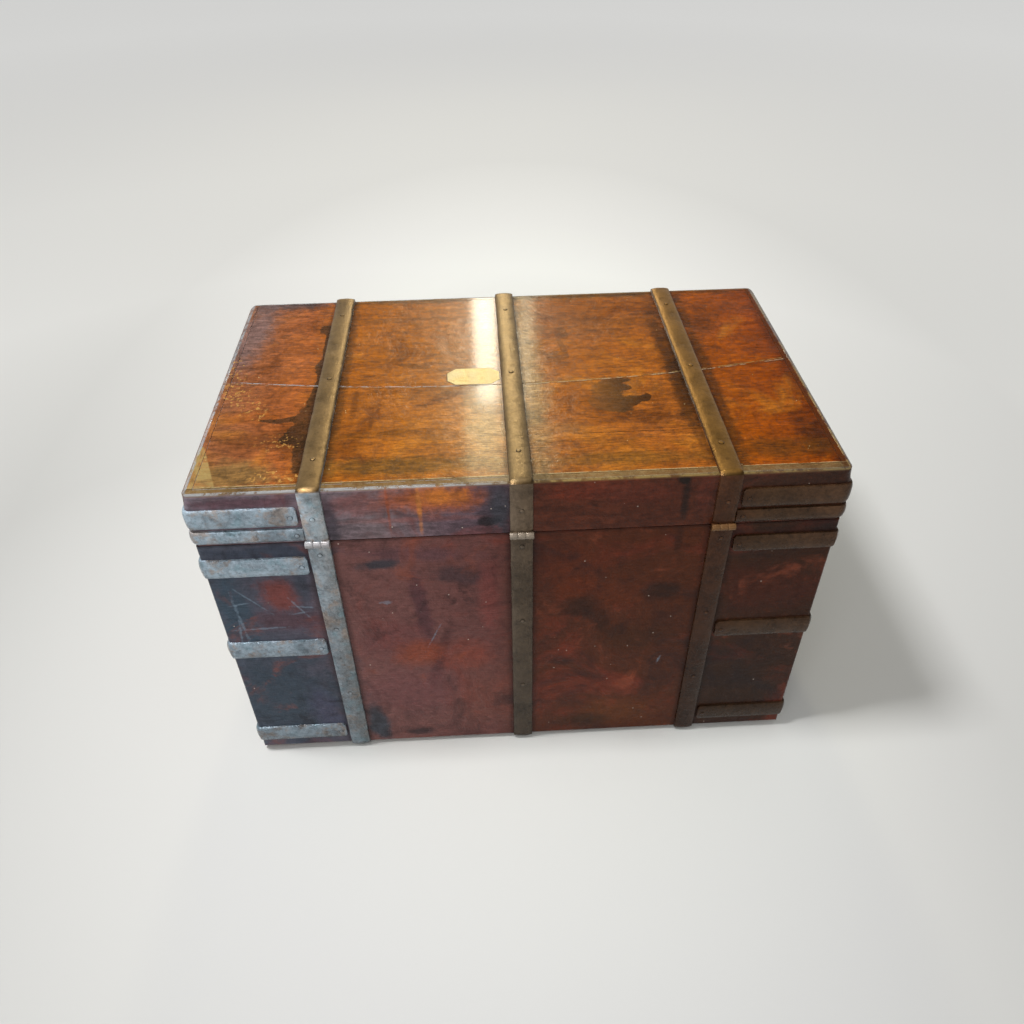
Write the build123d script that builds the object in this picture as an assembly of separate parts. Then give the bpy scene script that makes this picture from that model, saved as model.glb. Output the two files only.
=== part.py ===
from build123d import *
from math import cos, radians, sin
import os

os.makedirs("parts", exist_ok=True)

# All sizes are in millimetres. X runs along the front, the front faces -Y, and Z is up.
# The hinges are on the back, at +Y. Left and right are as seen from the front.

# Case, outside of the wood
case_width = 900.0
case_depth = 540.0
case_height = 565.0
lid_height = 88.0

# Box boards
board_thick = 22.0
bottom_thick = 18.0
corner_round = 4.0
corner_land = 3.0
bottom_round = 6.0
rim_arris = 1.2
rim_gap = 0.6

# Lid boards
rail_thick = 20.0
rail_edge = 14.0
top_thick = 14.0
top_round = 4.0
lid_corner_round = 8.0
top_board_arris = 0.8
top_joint_gap = 0.6
joint_left = -22.0
joint_middle = 26.0
joint_right = -9.0

# Brass plaque let into the lid
plaque_length = 81.0
plaque_width = 46.0
plaque_thick = 2.0
plaque_proud = 0.3
plaque_corner_x = 13.0
plaque_corner_y = 12.0
plaque_x = 59.0
plaque_y = 0.0
plaque_fit = 0.15

# Iron straps round the case
strap_width = 32.0
strap_thick = 5.5
strap_edge = 2.2
strap_spacing = 282.0
bend_ease = 0.3
bend_steps = 4
crown_shares = ((1.0, 0.0), (0.8, 0.62), (0.32, 1.0))

# Hinge knuckles rolled on the strap ends
knuckle_radius = 5.6
knuckle_length = 11.0
knuckle_gap = 0.3
knuckle_stand_off = 0.3
pin_radius = 2.6
pin_fit = 0.05
lid_opening = 100.0

# Iron bands round the ends
band_thick = 5.0
band_edge = 2.0
band_end_clip = 5.0
band_strap_gap = 4.0
mid_band_low = 240.0
mid_band_height = 35.0
low_band_low = 23.5
low_band_height = 34.5
right_top_band_height = 34.0
right_top_band_drop = 26.7
left_top_band_height = 30.0
left_top_band_drop = 21.7
lid_band_low = 32.0
lid_band_height = 32.0
lip_band_low = 5.0
lip_band_height = 22.0
lip_strap_gap = 0.3

# Nails that hold the iron
nail_head_width = 7.5
nail_head_height = 1.2
nail_head_taper = 55.0
nail_shank = 3.0
nail_in_wood = 11.0
nail_end_margin = 9.0

# Drop handles on the ends
handle_plate_length = 206.0
handle_plate_height = 40.0
handle_plate_thick = 4.0
handle_plate_clip = 9.0
handle_below_rim = 84.7
handle_stand_off = 12.5
handle_reach = 56.0
handle_drop = 64.0
handle_bar_radius = 5.0
handle_bar_sides = 8
handle_grip_radius = 7.0
handle_grip_length = 84.0
handle_pivot_bend = 8.0
handle_grip_bend = 16.0
handle_ear_length = 13.0
handle_ear_height = 19.0
handle_ear_gap = 1.0
handle_ear_fit = 0.3
handle_end_head = 3.0
handle_end_radius = 6.2

# Locks in the front board
lock_x = 141.0
lock_case_length = 72.0
lock_case_depth = 50.0
lock_case_thick = 14.4
lock_wall = 1.5
lock_fit = 0.5
lock_plate_length = 98.0
lock_plate_width = 18.0
lock_plate_thick = 2.5
staple_width = 9.0
staple_thick = 6.0
staple_eye_width = 5.0
staple_eye_height = 7.0
staple_bar = 2.5
staple_fit = 0.8
bolt_height = 6.0
bolt_thick = 4.0
bolt_length = 26.0
bolt_fit = 0.3
keyhole_radius = 3.5
keyhole_slot = 3.2
keyhole_drop = 9.0
keyhole_below_rim = 30.0

# Brass keyhole plates and their swinging covers
escutcheon_width = 30.0
escutcheon_height = 42.0
escutcheon_clip = 8.0
escutcheon_thick = 1.6
escutcheon_rise = 3.0
cover_pivot_rise = 12.0
cover_length = 29.0
cover_width = 15.0
cover_neck_width = 8.0
cover_neck_rise = 4.5
cover_clip_share = 0.45
cover_thick = 2.0
cover_gap = 0.3
cover_rivet_radius = 1.6
cover_rivet_head = 3.0
cover_rivet_head_thick = 1.0
rivet_head_sides = 8

# Link plates under the lid, one over each lock
link_plate_length = 92.0
link_plate_width = 16.0
link_plate_thick = 2.0

# Slotted stays that hold the lid open
stay_radius = 150.0
stay_lid_angle = 12.0
stay_box_angle = -15.0
stay_width = 14.0
stay_thick = 3.0
stay_slot_width = 6.4
stay_stud_radius = 2.9
stay_stud_head_radius = 5.5
stay_stud_head_thick = 2.0
stay_pivot_radius = 3.0
stay_pivot_fit = 0.05
stay_eye_radius = 9.0
stay_plate_thick = 2.5
stay_plate_length = 44.0
stay_plate_height = 26.0
stay_plate_clip = 6.0
stay_plate_gap = 0.6
stay_slot_spare = 1.5
stay_end_wall = 7.0

# One overrun serves every cut
cut_over = 2.0

# Places worked out from the sizes
half_width = case_width / 2
half_depth = case_depth / 2
wood_base = strap_thick
parting = wood_base + case_height - lid_height
box_rim = parting - rim_gap / 2
lid_rim = parting + rim_gap / 2
lid_top = wood_base + case_height
corner_lip = corner_round + corner_land
hinge_y = half_depth + knuckle_radius + knuckle_stand_off
band_start = strap_spacing + strap_width / 2 + band_strap_gap
lip_start = strap_spacing + strap_width / 2 + lip_strap_gap
strap_places = {"left": -strap_spacing, "middle": 0, "right": strap_spacing}
sides = {"left": -1, "right": 1}


def block(x0, x1, y0, y1, z0, z1):
    """A rectangular block between two corners."""
    place = Pos((x0 + x1) / 2, (y0 + y1) / 2, (z0 + z1) / 2)
    return place * Box(abs(x1 - x0), abs(y1 - y0), abs(z1 - z0))


def rod_x(radius, x0, x1, y, z):
    """A round rod that lies along X."""
    return Pos((x0 + x1) / 2, y, z) * Rot(0, 90, 0) * Cylinder(radius, abs(x1 - x0))


def rod_y(radius, y0, y1, x, z):
    """A round rod that lies along Y."""
    return Pos(x, (y0 + y1) / 2, z) * Rot(90, 0, 0) * Cylinder(radius, abs(y1 - y0))


def save(shape, name):
    """Writes one piece, or one group of like pieces, under its own name."""
    export_step(shape, f"parts/{name}.step")


# The outer form of the wood, which rounds the corners and edges of every board

def rounded_case(low, high, corner, low_round, high_round):
    """The box or the lid as one solid, rounded at its level edges and its upright corners."""
    height = high - low
    form = Pos(0, 0, (low + high) / 2) * Box(case_width, case_depth, height)
    form = fillet(form.edges().group_by(Axis.Z)[0], low_round)
    form = fillet(form.edges().group_by(Axis.Z)[-1], high_round)
    waste = Rectangle(case_width + 2 * cut_over, case_depth + 2 * cut_over)
    waste -= RectangleRounded(case_width, case_depth, corner)
    return form - Pos(0, 0, low - cut_over) * extrude(waste, height + 2 * cut_over)


box_form = rounded_case(wood_base, box_rim, corner_round, bottom_round, rim_arris)
lid_form = rounded_case(lid_rim, lid_top, lid_corner_round, rim_arris, top_round)


# Nails: a low square rose head over a square shank

def nail_at(x, y, z, outward):
    """One nail whose head sits at the point and whose shank runs inwards through iron and wood."""
    head = extrude(Rectangle(nail_head_width, nail_head_width), nail_head_height,
                   taper=nail_head_taper)
    length = strap_thick + nail_in_wood
    shank = Pos(0, 0, -length / 2) * Box(nail_shank, nail_shank, length)
    return Plane(origin=(x, y, z), z_dir=outward) * (head + shank)


def nails_of(places):
    """All the nails of a list of places, as separate solids."""
    return Compound(children=[nail_at(*place) for place in places])


# Iron straps and bands: half-oval bar, bent hot round the wood in a few blows at each corner

def bent_path(corners, bends):
    """The line through the corners, each square corner turned in equal steps about its bend."""
    points = [Vector(*corner) for corner in corners]
    path = [points[0]]
    step = 90 / bend_steps
    for before, corner, after, bend in zip(points, points[1:], points[2:], bends):
        ahead = (corner - before).normalized()
        aside = (after - corner).normalized()
        centre = corner - ahead * bend + aside * bend
        reach = bend / cos(radians(step / 2))
        for number in range(bend_steps):
            angle = radians(step * (number + 1 / 2))
            path.append(centre - aside * reach * cos(angle) + ahead * reach * sin(angle))
    path.append(points[-1])
    return path


def swept(section, path, across):
    """A section carried along a path of short straight runs, mitred at every turn."""
    start = Plane(origin=path[0], z_dir=path[1] - path[0], x_dir=across)
    return sweep(start * section, path=Polyline(*path), transition=Transition.RIGHT)


def bar_section(width, thick, edge):
    """Half-oval bar: flat underneath, with square edges, stepped shoulders and a worn crown."""
    half, rise = width / 2, thick - edge
    crown = [(half * across, edge + rise * up) for across, up in crown_shares]
    mirrored = [(-x, z) for x, z in reversed(crown)]
    return Polygon((half, 0), *crown, *mirrored, (-half, 0), align=None)


def bent_bar(width, thick, edge, corners, bend, across):
    """A half-oval bar laid along the corners, its flat side inwards."""
    path = bent_path(corners, [bend] * (len(corners) - 2))
    return swept(bar_section(width, thick, edge), path, across)


knuckle_pitch = knuckle_length + knuckle_gap
knuckle_reach = 1.5 * knuckle_length + knuckle_gap


def knuckle(x, middle):
    """The rolled loops of one leaf: the middle loop, or the two outer ones."""
    centres = [x] if middle else [x - knuckle_pitch, x + knuckle_pitch]
    half = knuckle_length / 2
    return [rod_x(knuckle_radius, centre - half, centre + half, hinge_y, parting)
            for centre in centres]


def knuckle_room(x, middle):
    """The space that the other leaf's loops need."""
    reach = knuckle_length / 2 + knuckle_gap
    radius = knuckle_radius + knuckle_gap
    if middle:
        return [rod_x(radius, x - reach, x + reach, hinge_y, parting)]
    outer = knuckle_reach + cut_over
    return [rod_x(radius, x - outer, x - reach + knuckle_gap, hinge_y, parting),
            rod_x(radius, x + reach - knuckle_gap, x + outer, hinge_y, parting)]


def pin_hole(x):
    """The bore through all the loops of one hinge."""
    reach = knuckle_reach + cut_over
    return rod_x(pin_radius + pin_fit, x - reach, x + reach, hinge_y, parting)


def box_strap(x):
    """A strap from the hinge down the back, under the bottom and up the front."""
    bend = bottom_round - bend_ease
    corners = [(x, half_depth, parting), (x, half_depth, wood_base),
               (x, -half_depth, wood_base), (x, -half_depth, box_rim)]
    bar = bent_bar(strap_width, strap_thick, strap_edge, corners, bend, (-1, 0, 0))
    return bar - knuckle_room(x, True) + knuckle(x, False) - pin_hole(x)


def lid_strap(x):
    """A strap from the hinge up the back, over the top and down the front of the lid."""
    bend = top_round - bend_ease
    corners = [(x, half_depth, parting), (x, half_depth, lid_top),
               (x, -half_depth, lid_top), (x, -half_depth, lid_rim)]
    bar = bent_bar(strap_width, strap_thick, strap_edge, corners, bend, (1, 0, 0))
    return bar - knuckle_room(x, False) + knuckle(x, True) - pin_hole(x)


def hinge_pin(x):
    """The pin of one hinge, filed flush with the outer loops."""
    return rod_x(pin_radius, x - knuckle_reach, x + knuckle_reach, hinge_y, parting)


def end_band(way, low, height, start, corner, square_end):
    """A band from the back, round one end, to the front, with its two ends rounded or square."""
    middle = low + height / 2
    corners = [(start, half_depth, middle), (half_width, half_depth, middle),
               (half_width, -half_depth, middle), (start, -half_depth, middle)]
    band = bent_bar(height, band_thick, band_edge, corners, corner - bend_ease, (0, 0, -1))
    if not square_end:
        reach = half_width + band_thick - start
        outline = chamfer(Rectangle(2 * reach, height).vertices(), band_end_clip)
        mask = extrude(Plane.XZ * outline, half_depth + band_thick + cut_over, both=True)
        band = band & (Pos(start + reach, 0, middle) * mask)
    return band if way > 0 else mirror(band, about=Plane.YZ)


left_top_band = (box_rim - left_top_band_drop - left_top_band_height, left_top_band_height)
right_top_band = (box_rim - right_top_band_drop - right_top_band_height, right_top_band_height)
mid_band = (wood_base + mid_band_low, mid_band_height)
low_band = (wood_base + low_band_low, low_band_height)
box_band_table = {
    "top_band": {"left": left_top_band, "right": right_top_band},
    "mid_band": {"left": mid_band, "right": mid_band},
    "low_band": {"left": low_band, "right": low_band},
}
lid_band_table = {
    "lid_band": (lid_band_low, lid_band_height, band_start, False),
    "lip_band": (lip_band_low, lip_band_height, lip_start, True),
}

# Where the nails go, as shares of the face or run that they are driven into
strap_back_nail_shares = (0.045, 0.37, 0.695)
strap_front_nail_shares = (0.045, 0.37, 0.695)
strap_top_nail_shares = (0.12, 0.5, 0.88)
strap_lid_nail_share = 0.5
band_end_nail_shares = (-0.3, 0.3)

box_nails = []
lid_nails = []
strap_face = half_depth + strap_thick
box_face_height = box_rim - wood_base
for x in strap_places.values():
    for share in strap_back_nail_shares:
        box_nails.append((x, strap_face, box_rim - share * box_face_height, (0, 1, 0)))
    for share in strap_front_nail_shares:
        box_nails.append((x, -strap_face, box_rim - share * box_face_height, (0, -1, 0)))
    for share in strap_top_nail_shares:
        lid_nails.append((x, half_depth - share * case_depth, lid_top + strap_thick, (0, 0, 1)))
    lid_middle = lid_rim + strap_lid_nail_share * (lid_top - lid_rim)
    lid_nails.append((x, strap_face, lid_middle, (0, 1, 0)))
    lid_nails.append((x, -strap_face, lid_middle, (0, -1, 0)))


def band_nail_places(way, low, height, start):
    """One nail near each end of a band and two along the end of the case."""
    middle = low + height / 2
    x = way * (start + nail_end_margin)
    face = half_depth + band_thick
    places = [(x, face, middle, (0, 1, 0)), (x, -face, middle, (0, -1, 0))]
    for share in band_end_nail_shares:
        places.append((way * (half_width + band_thick), share * case_depth, middle, (way, 0, 0)))
    return places


box_bands = {}
for name, by_side in box_band_table.items():
    for side, way in sides.items():
        low, height = by_side[side]
        box_bands[f"{name}_{side}"] = end_band(way, low, height, band_start, corner_round, False)
        box_nails.extend(band_nail_places(way, low, height, band_start))

lid_bands = {}
for name, (low, height, start, square_end) in lid_band_table.items():
    for side, way in sides.items():
        low_z = parting + low
        lid_bands[f"{name}_{side}"] = end_band(way, low_z, height, start, lid_corner_round, square_end)
        lid_nails.extend(band_nail_places(way, low_z, height, start))


# Drop handles: a forged plate with two ears, and a bail that hangs in them

handle_x = half_width + handle_stand_off
handle_z = box_rim - handle_below_rim
ear_inner = handle_reach + handle_pivot_bend + handle_ear_gap
ear_outer = ear_inner + handle_ear_length
plate_nail_share = 0.44
ear_clip_share = 0.55


def right_handle_plate():
    """The plate on the right end, its ears standing out to carry the bail."""
    outline = Rectangle(handle_plate_length, handle_plate_height)
    outline = chamfer(outline.vertices(), handle_plate_clip)
    plate = extrude(Plane.YZ * outline, handle_plate_thick)
    plate = Pos(half_width, 0, handle_z) * plate
    nose = handle_ear_height / 2
    for way in sides.values():
        y0, y1 = way * ear_inner, way * ear_outer
        ear = block(half_width, handle_x + nose, y0, y1, handle_z - nose, handle_z + nose)
        plate += chamfer(ear.faces().sort_by(Axis.X)[-1].edges() | Axis.Y, nose * ear_clip_share)
    bore = handle_bar_radius + handle_ear_fit
    reach = ear_outer + cut_over
    return plate - rod_y(bore, -reach, reach, handle_x, handle_z)


def right_handle_bail():
    """The bail, bent from eight-sided bar that swells in the grip and is upset at its ends."""
    end = ear_outer + handle_ear_gap
    low = handle_z - handle_drop
    corners = [(handle_x, -end, handle_z), (handle_x, -handle_reach, handle_z),
               (handle_x, -handle_reach, low), (handle_x, handle_reach, low),
               (handle_x, handle_reach, handle_z), (handle_x, end, handle_z)]
    bends = [handle_pivot_bend, handle_grip_bend, handle_grip_bend, handle_pivot_bend]
    sideways = (1, 0, 0)
    rod = RegularPolygon(handle_bar_radius, handle_bar_sides)
    bar = swept(rod, bent_path(corners, bends), sideways)
    swell = RegularPolygon(handle_grip_radius, handle_bar_sides)
    reach = handle_grip_length / 2
    rings = [Plane(origin=(handle_x, y, low), z_dir=(0, 1, 0), x_dir=sideways) * ring
             for y, ring in ((-reach, rod), (0, swell), (reach, rod))]
    bar += loft(rings, ruled=True)
    head = RegularPolygon(handle_end_radius, handle_bar_sides)
    for way in sides.values():
        plane = Plane(origin=(handle_x, way * end, handle_z), z_dir=(0, way, 0), x_dir=sideways)
        bar += extrude(plane * head, handle_end_head)
    return bar


handle_nail_places = {}
for side, way in sides.items():
    face = way * (half_width + handle_plate_thick)
    handle_nail_places[side] = [
        (face, y_way * plate_nail_share * handle_plate_length, handle_z, (way, 0, 0))
        for y_way in sides.values()]


# Locks: a case let into the front board, a sliding bolt, and a staple on the lid

lock_y = -half_depth + board_thick / 2
key_level = box_rim - keyhole_below_rim
bolt_z = box_rim - lock_plate_thick - bolt_fit - bolt_height / 2
staple_low = bolt_z - staple_eye_height / 2 - staple_bar


def lock_case(x):
    """The flush top plate with its hollow case and the shelf that the bolt slides on."""
    plate_low = box_rim - lock_plate_thick
    half_plate, half_case = lock_plate_length / 2, lock_case_length / 2
    half_thick = lock_case_thick / 2
    low = plate_low - lock_case_depth
    plate = block(x - half_plate, x + half_plate, lock_y - lock_plate_width / 2,
                  lock_y + lock_plate_width / 2, plate_low, box_rim)
    case = block(x - half_case, x + half_case, lock_y - half_thick, lock_y + half_thick,
                 low, plate_low)
    room = block(x - half_case + lock_wall, x + half_case - lock_wall,
                 lock_y - half_thick + lock_wall, lock_y + half_thick - lock_wall,
                 low + lock_wall, plate_low)
    case = plate + (case - room)
    shelf_top = bolt_z - bolt_height / 2 - bolt_fit
    case += block(x - half_case + lock_wall, x + half_case - lock_wall,
                  lock_y - half_thick + lock_wall, lock_y + half_thick - lock_wall,
                  shelf_top - lock_wall, shelf_top)
    mouth_x, mouth_y = staple_thick / 2 + staple_fit, staple_width / 2 + staple_fit
    case -= block(x - mouth_x, x + mouth_x, lock_y - mouth_y, lock_y + mouth_y,
                  staple_low - staple_fit, box_rim + cut_over)
    return case - key_window(x)


def keyhole(x, y0, y1):
    """A keyhole cut along Y: a round hole over a narrower slot."""
    slot = block(x - keyhole_slot / 2, x + keyhole_slot / 2, y0, y1, key_level - keyhole_drop,
                 key_level)
    return rod_y(keyhole_radius, y0, y1, x, key_level) + slot


def key_window(x):
    """The rough opening through the board and the case behind a keyhole."""
    return block(x - keyhole_radius, x + keyhole_radius, -half_depth - cut_over, lock_y,
                 key_level - keyhole_drop, key_level + keyhole_radius)


def lock_mortise(x):
    """The room in the front board for the case and its flush top plate."""
    plate_low = box_rim - lock_plate_thick
    half_plate = lock_plate_length / 2 + lock_fit / 2
    half_case = lock_case_length / 2 + lock_fit
    half_thick = lock_case_thick / 2 + lock_fit
    half_width_of_plate = lock_plate_width / 2 + lock_fit / 2
    room = block(x - half_plate, x + half_plate, lock_y - half_width_of_plate,
                 lock_y + half_width_of_plate, plate_low, box_rim + cut_over)
    return room + block(x - half_case, x + half_case, lock_y - half_thick, lock_y + half_thick,
                        plate_low - lock_case_depth - lock_fit, plate_low)


def lock_bolt(x):
    """The bolt, drawn back clear of the staple, with the talon that the key moves."""
    start = x + staple_thick / 2 + bolt_fit
    bolt = block(start, start + bolt_length, lock_y - bolt_thick / 2, lock_y + bolt_thick / 2,
                 bolt_z - bolt_height / 2, bolt_z + bolt_height / 2)
    talon = bolt_height / 2
    return bolt - block(start + bolt_length / 2 - talon, start + bolt_length / 2 + talon,
                        lock_y - bolt_thick, lock_y + bolt_thick,
                        bolt_z - bolt_height, bolt_z - talon / 2)


def link_plate(x):
    """The plate let in under the lid's front rail, with the staple that the bolt enters."""
    half_plate = link_plate_length / 2
    plate = block(x - half_plate, x + half_plate, lock_y - link_plate_width / 2,
                  lock_y + link_plate_width / 2, lid_rim, lid_rim + link_plate_thick)
    staple = block(x - staple_thick / 2, x + staple_thick / 2, lock_y - staple_width / 2,
                   lock_y + staple_width / 2, staple_low, lid_rim)
    eye = block(x - staple_thick, x + staple_thick, lock_y - staple_eye_width / 2,
                lock_y + staple_eye_width / 2, bolt_z - staple_eye_height / 2,
                bolt_z + staple_eye_height / 2)
    return plate + staple - eye


def link_recess(x):
    """The shallow recess in the rail that takes the link plate."""
    half_plate = link_plate_length / 2 + lock_fit / 2
    half = link_plate_width / 2 + lock_fit / 2
    return block(x - half_plate, x + half_plate, lock_y - half, lock_y + half,
                 lid_rim - cut_over, lid_rim + link_plate_thick)


cover_pivot_z = key_level + cover_pivot_rise
escutcheon_face = -half_depth - escutcheon_thick


def escutcheon(x):
    """The brass keyhole plate with the rivet that its cover turns on."""
    outline = chamfer(Rectangle(escutcheon_width, escutcheon_height).vertices(), escutcheon_clip)
    plate = extrude(Plane.XZ * outline, escutcheon_thick)
    plate = Pos(x, -half_depth, key_level + escutcheon_rise) * plate
    plate -= keyhole(x, escutcheon_face - cut_over, -half_depth + cut_over)
    neck_end = escutcheon_face - cover_gap - cover_thick - cover_gap
    plate += rod_y(cover_rivet_radius, neck_end, escutcheon_face, x, cover_pivot_z)
    head = Pos(x, neck_end, cover_pivot_z) * extrude(
        Plane.XZ * RegularPolygon(cover_rivet_head, rivet_head_sides), cover_rivet_head_thick)
    return plate + head


def keyhole_cover(x):
    """The tapered cover that hangs over the keyhole."""
    neck, tail = cover_neck_width / 2, cover_width / 2
    foot = cover_neck_rise - cover_length
    clip = tail * cover_clip_share
    shape = Polygon((-neck, cover_neck_rise), (neck, cover_neck_rise), (tail, foot + clip),
                    (tail - clip, foot), (clip - tail, foot), (-tail, foot + clip), align=None)
    shape -= Circle(cover_rivet_radius + pin_fit)
    leaf = extrude(Plane.XZ * shape, cover_thick, dir=(0, -1, 0))
    return Pos(x, escutcheon_face - cover_gap, cover_pivot_z) * leaf


# Lid stays: a slotted arm on the lid that slides along a stud in the box.
# Both pivots lie at one radius from the hinge, so the arm turns half as far as the lid.

stay_turn = stay_lid_angle - stay_box_angle
stay_far = 2 * stay_radius * sin(radians((stay_turn + lid_opening) / 2))
stay_near = 2 * stay_radius * sin(radians(stay_turn / 2))
stay_lid_y = hinge_y - stay_radius * cos(radians(stay_lid_angle))
stay_lid_z = parting + stay_radius * sin(radians(stay_lid_angle))
stay_box_y = hinge_y - stay_radius * cos(radians(stay_box_angle))
stay_box_z = parting + stay_radius * sin(radians(stay_box_angle))
stay_wall = half_width - board_thick
stay_lid_wall = half_width - rail_thick
stay_arm_outer = stay_wall - stay_plate_thick - stay_plate_gap
stay_arm_inner = stay_arm_outer - stay_thick


def right_stay_arm():
    """The slotted arm, drawn along the line from its pivot on the lid to the stud."""
    slot_start = stay_near - stay_stud_radius - stay_slot_spare
    slot_end = stay_far + stay_stud_radius + pin_fit
    length = slot_end + stay_end_wall
    half = stay_width / 2
    outline = RegularPolygon(stay_eye_radius, rivet_head_sides, major_radius=False)
    outline += Pos(length / 2, 0) * Rectangle(length, stay_width)
    outline += Pos(length, 0) * RegularPolygon(half, rivet_head_sides, major_radius=False)
    outline -= Circle(stay_pivot_radius + stay_pivot_fit)
    slot_length = slot_end - slot_start
    slot = SlotOverall(slot_length, stay_slot_width)
    outline -= Pos(slot_start + slot_length / 2, 0) * slot
    along = (0, stay_box_y - stay_lid_y, stay_box_z - stay_lid_z)
    plane = Plane(origin=(stay_arm_inner, stay_lid_y, stay_lid_z), x_dir=along, z_dir=(1, 0, 0))
    return extrude(plane * outline, stay_thick)


def stay_plate(wall, y, z):
    """A fixing plate on the wood together with the head of the stud that stands on it."""
    outline = chamfer(Rectangle(stay_plate_length, stay_plate_height).vertices(), stay_plate_clip)
    plate = Pos(wall - stay_plate_thick, y, z) * extrude(Plane.YZ * outline, stay_plate_thick)
    head = extrude(Plane.YZ * RegularPolygon(stay_stud_head_radius, rivet_head_sides),
                   stay_stud_head_thick)
    head_x = stay_arm_inner - stay_plate_gap - stay_stud_head_thick
    return plate + Pos(head_x, y, z) * head


def right_stay_stud():
    """The plate on the end board with the headed stud that the slot slides on."""
    shoulder = stay_arm_inner - stay_plate_gap
    stud = rod_x(stay_stud_radius, shoulder, stay_wall - stay_plate_thick, stay_box_y, stay_box_z)
    return stud + stay_plate(stay_wall, stay_box_y, stay_box_z)


def right_stay_bracket():
    """The plate on the lid's end rail with the pivot that the arm turns on."""
    shoulder = stay_arm_inner - stay_plate_gap
    wall = stay_lid_wall - stay_plate_thick
    pivot = rod_x(stay_pivot_radius, shoulder, wall, stay_lid_y, stay_lid_z)
    return pivot + stay_plate(stay_lid_wall, stay_lid_y, stay_lid_z)


# Box boards: the ends and the bottom sit in rebates of the front and back

end_board_blocks = {
    side: block(way * (half_width - board_thick), way * half_width,
                -half_depth + corner_lip, half_depth - corner_lip, wood_base, box_rim)
    for side, way in sides.items()}
bottom_reach_x = half_width - corner_lip
bottom_reach_y = half_depth - corner_lip
bottom_block = block(-bottom_reach_x, bottom_reach_x, -bottom_reach_y, bottom_reach_y,
                     wood_base, wood_base + bottom_thick)


def long_board(way):
    """The front or back board, rebated for the ends and the bottom."""
    board = block(-half_width, half_width, way * (half_depth - board_thick), way * half_depth,
                  wood_base, box_rim)
    board = board - list(end_board_blocks.values()) - bottom_block
    return board & box_form


front_board = long_board(-1)
for way in sides.values():
    x = way * lock_x
    front_board = front_board - lock_mortise(x) - key_window(x)
wood = {
    "front_board": front_board,
    "back_board": long_board(1),
    "bottom_board_front": block(-bottom_reach_x, bottom_reach_x, -bottom_reach_y, 0,
                                wood_base, wood_base + bottom_thick),
    "bottom_board_back": block(-bottom_reach_x, bottom_reach_x, 0, bottom_reach_y,
                               wood_base, wood_base + bottom_thick),
}
for side, end_block in end_board_blocks.items():
    wood[f"end_board_{side}"] = (end_block - bottom_block) & box_form
for name, board in wood.items():
    save(board, name)


# Lid boards: four mitred rails with two top boards let in flush between them

top_reach_x = half_width - rail_edge
top_reach_y = half_depth - rail_edge
top_block = block(-top_reach_x, top_reach_x, -top_reach_y, top_reach_y, lid_top - top_thick, lid_top)


def mitred_rail(*plan):
    """One rail of the lid frame, cut from its plan with the rebate for the top boards."""
    rail = Pos(0, 0, lid_rim) * extrude(Polygon(*plan, align=None), lid_top - lid_rim, dir=(0, 0, 1))
    return (rail & lid_form) - top_block


def top_board(way):
    """One of the two top boards, on the front or the back side of their bowed joint."""
    shift = way * top_joint_gap / 2
    right_end, left_end = (top_reach_x, joint_right + shift), (-top_reach_x, joint_left + shift)
    joint = ThreePointArc(right_end, (0, joint_middle + shift), left_end)
    far = way * top_reach_y
    rest = Polyline(left_end, (-top_reach_x, far), (top_reach_x, far), right_end)
    board = extrude(make_face(joint + rest), top_thick, dir=(0, 0, 1))
    board = chamfer(board.faces().sort_by(Axis.Z)[-1].edges(), top_board_arris)
    return Pos(0, 0, lid_top - top_thick) * board


def plaque_outline(ease):
    """A long octagon, grown by an ease all round."""
    a, b = plaque_length / 2 + ease, plaque_width / 2 + ease
    c, d = a - plaque_corner_x, b - plaque_corner_y
    return Polygon((-c, -b), (c, -b), (a, -d), (a, d), (c, b), (-c, b), (-a, d), (-a, -d),
                   align=None)


inner_x, inner_y = half_width - rail_thick, half_depth - rail_thick
front_rail = mitred_rail((-half_width, -half_depth), (half_width, -half_depth),
                         (inner_x, -inner_y), (-inner_x, -inner_y))
for way in sides.values():
    front_rail -= link_recess(way * lock_x)
save(front_rail, "lid_front_rail")
save(mitred_rail((half_width, half_depth), (-half_width, half_depth),
                 (-inner_x, inner_y), (inner_x, inner_y)), "lid_back_rail")
for side, way in sides.items():
    corners = [(way * half_width, -half_depth), (way * half_width, half_depth),
               (way * inner_x, inner_y), (way * inner_x, -inner_y)]
    save(mitred_rail(*corners), f"lid_end_rail_{side}")

plaque_seat = lid_top + plaque_proud - plaque_thick
plaque_recess = Pos(plaque_x, plaque_y, plaque_seat) * extrude(plaque_outline(plaque_fit),
                                                               plaque_thick + cut_over)
save(top_board(-1) - plaque_recess, "lid_top_board_front")
save(top_board(1), "lid_top_board_back")
save(Pos(plaque_x, plaque_y, plaque_seat) * extrude(plaque_outline(0), plaque_thick), "plaque")

# Ironwork of the box and the lid
for place, x in strap_places.items():
    save(box_strap(x), f"box_strap_{place}")
    save(lid_strap(x), f"lid_strap_{place}")
for name, band in {**box_bands, **lid_bands}.items():
    save(band, name)
save(Compound(children=[hinge_pin(x) for x in strap_places.values()]), "hinge_pins")
save(nails_of(box_nails), "box_nails")
save(nails_of(lid_nails), "lid_nails")


def both_sides(piece):
    """A piece of the right-hand end together with its mirror image on the left."""
    return Compound(children=[piece, mirror(piece, about=Plane.YZ)])


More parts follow.
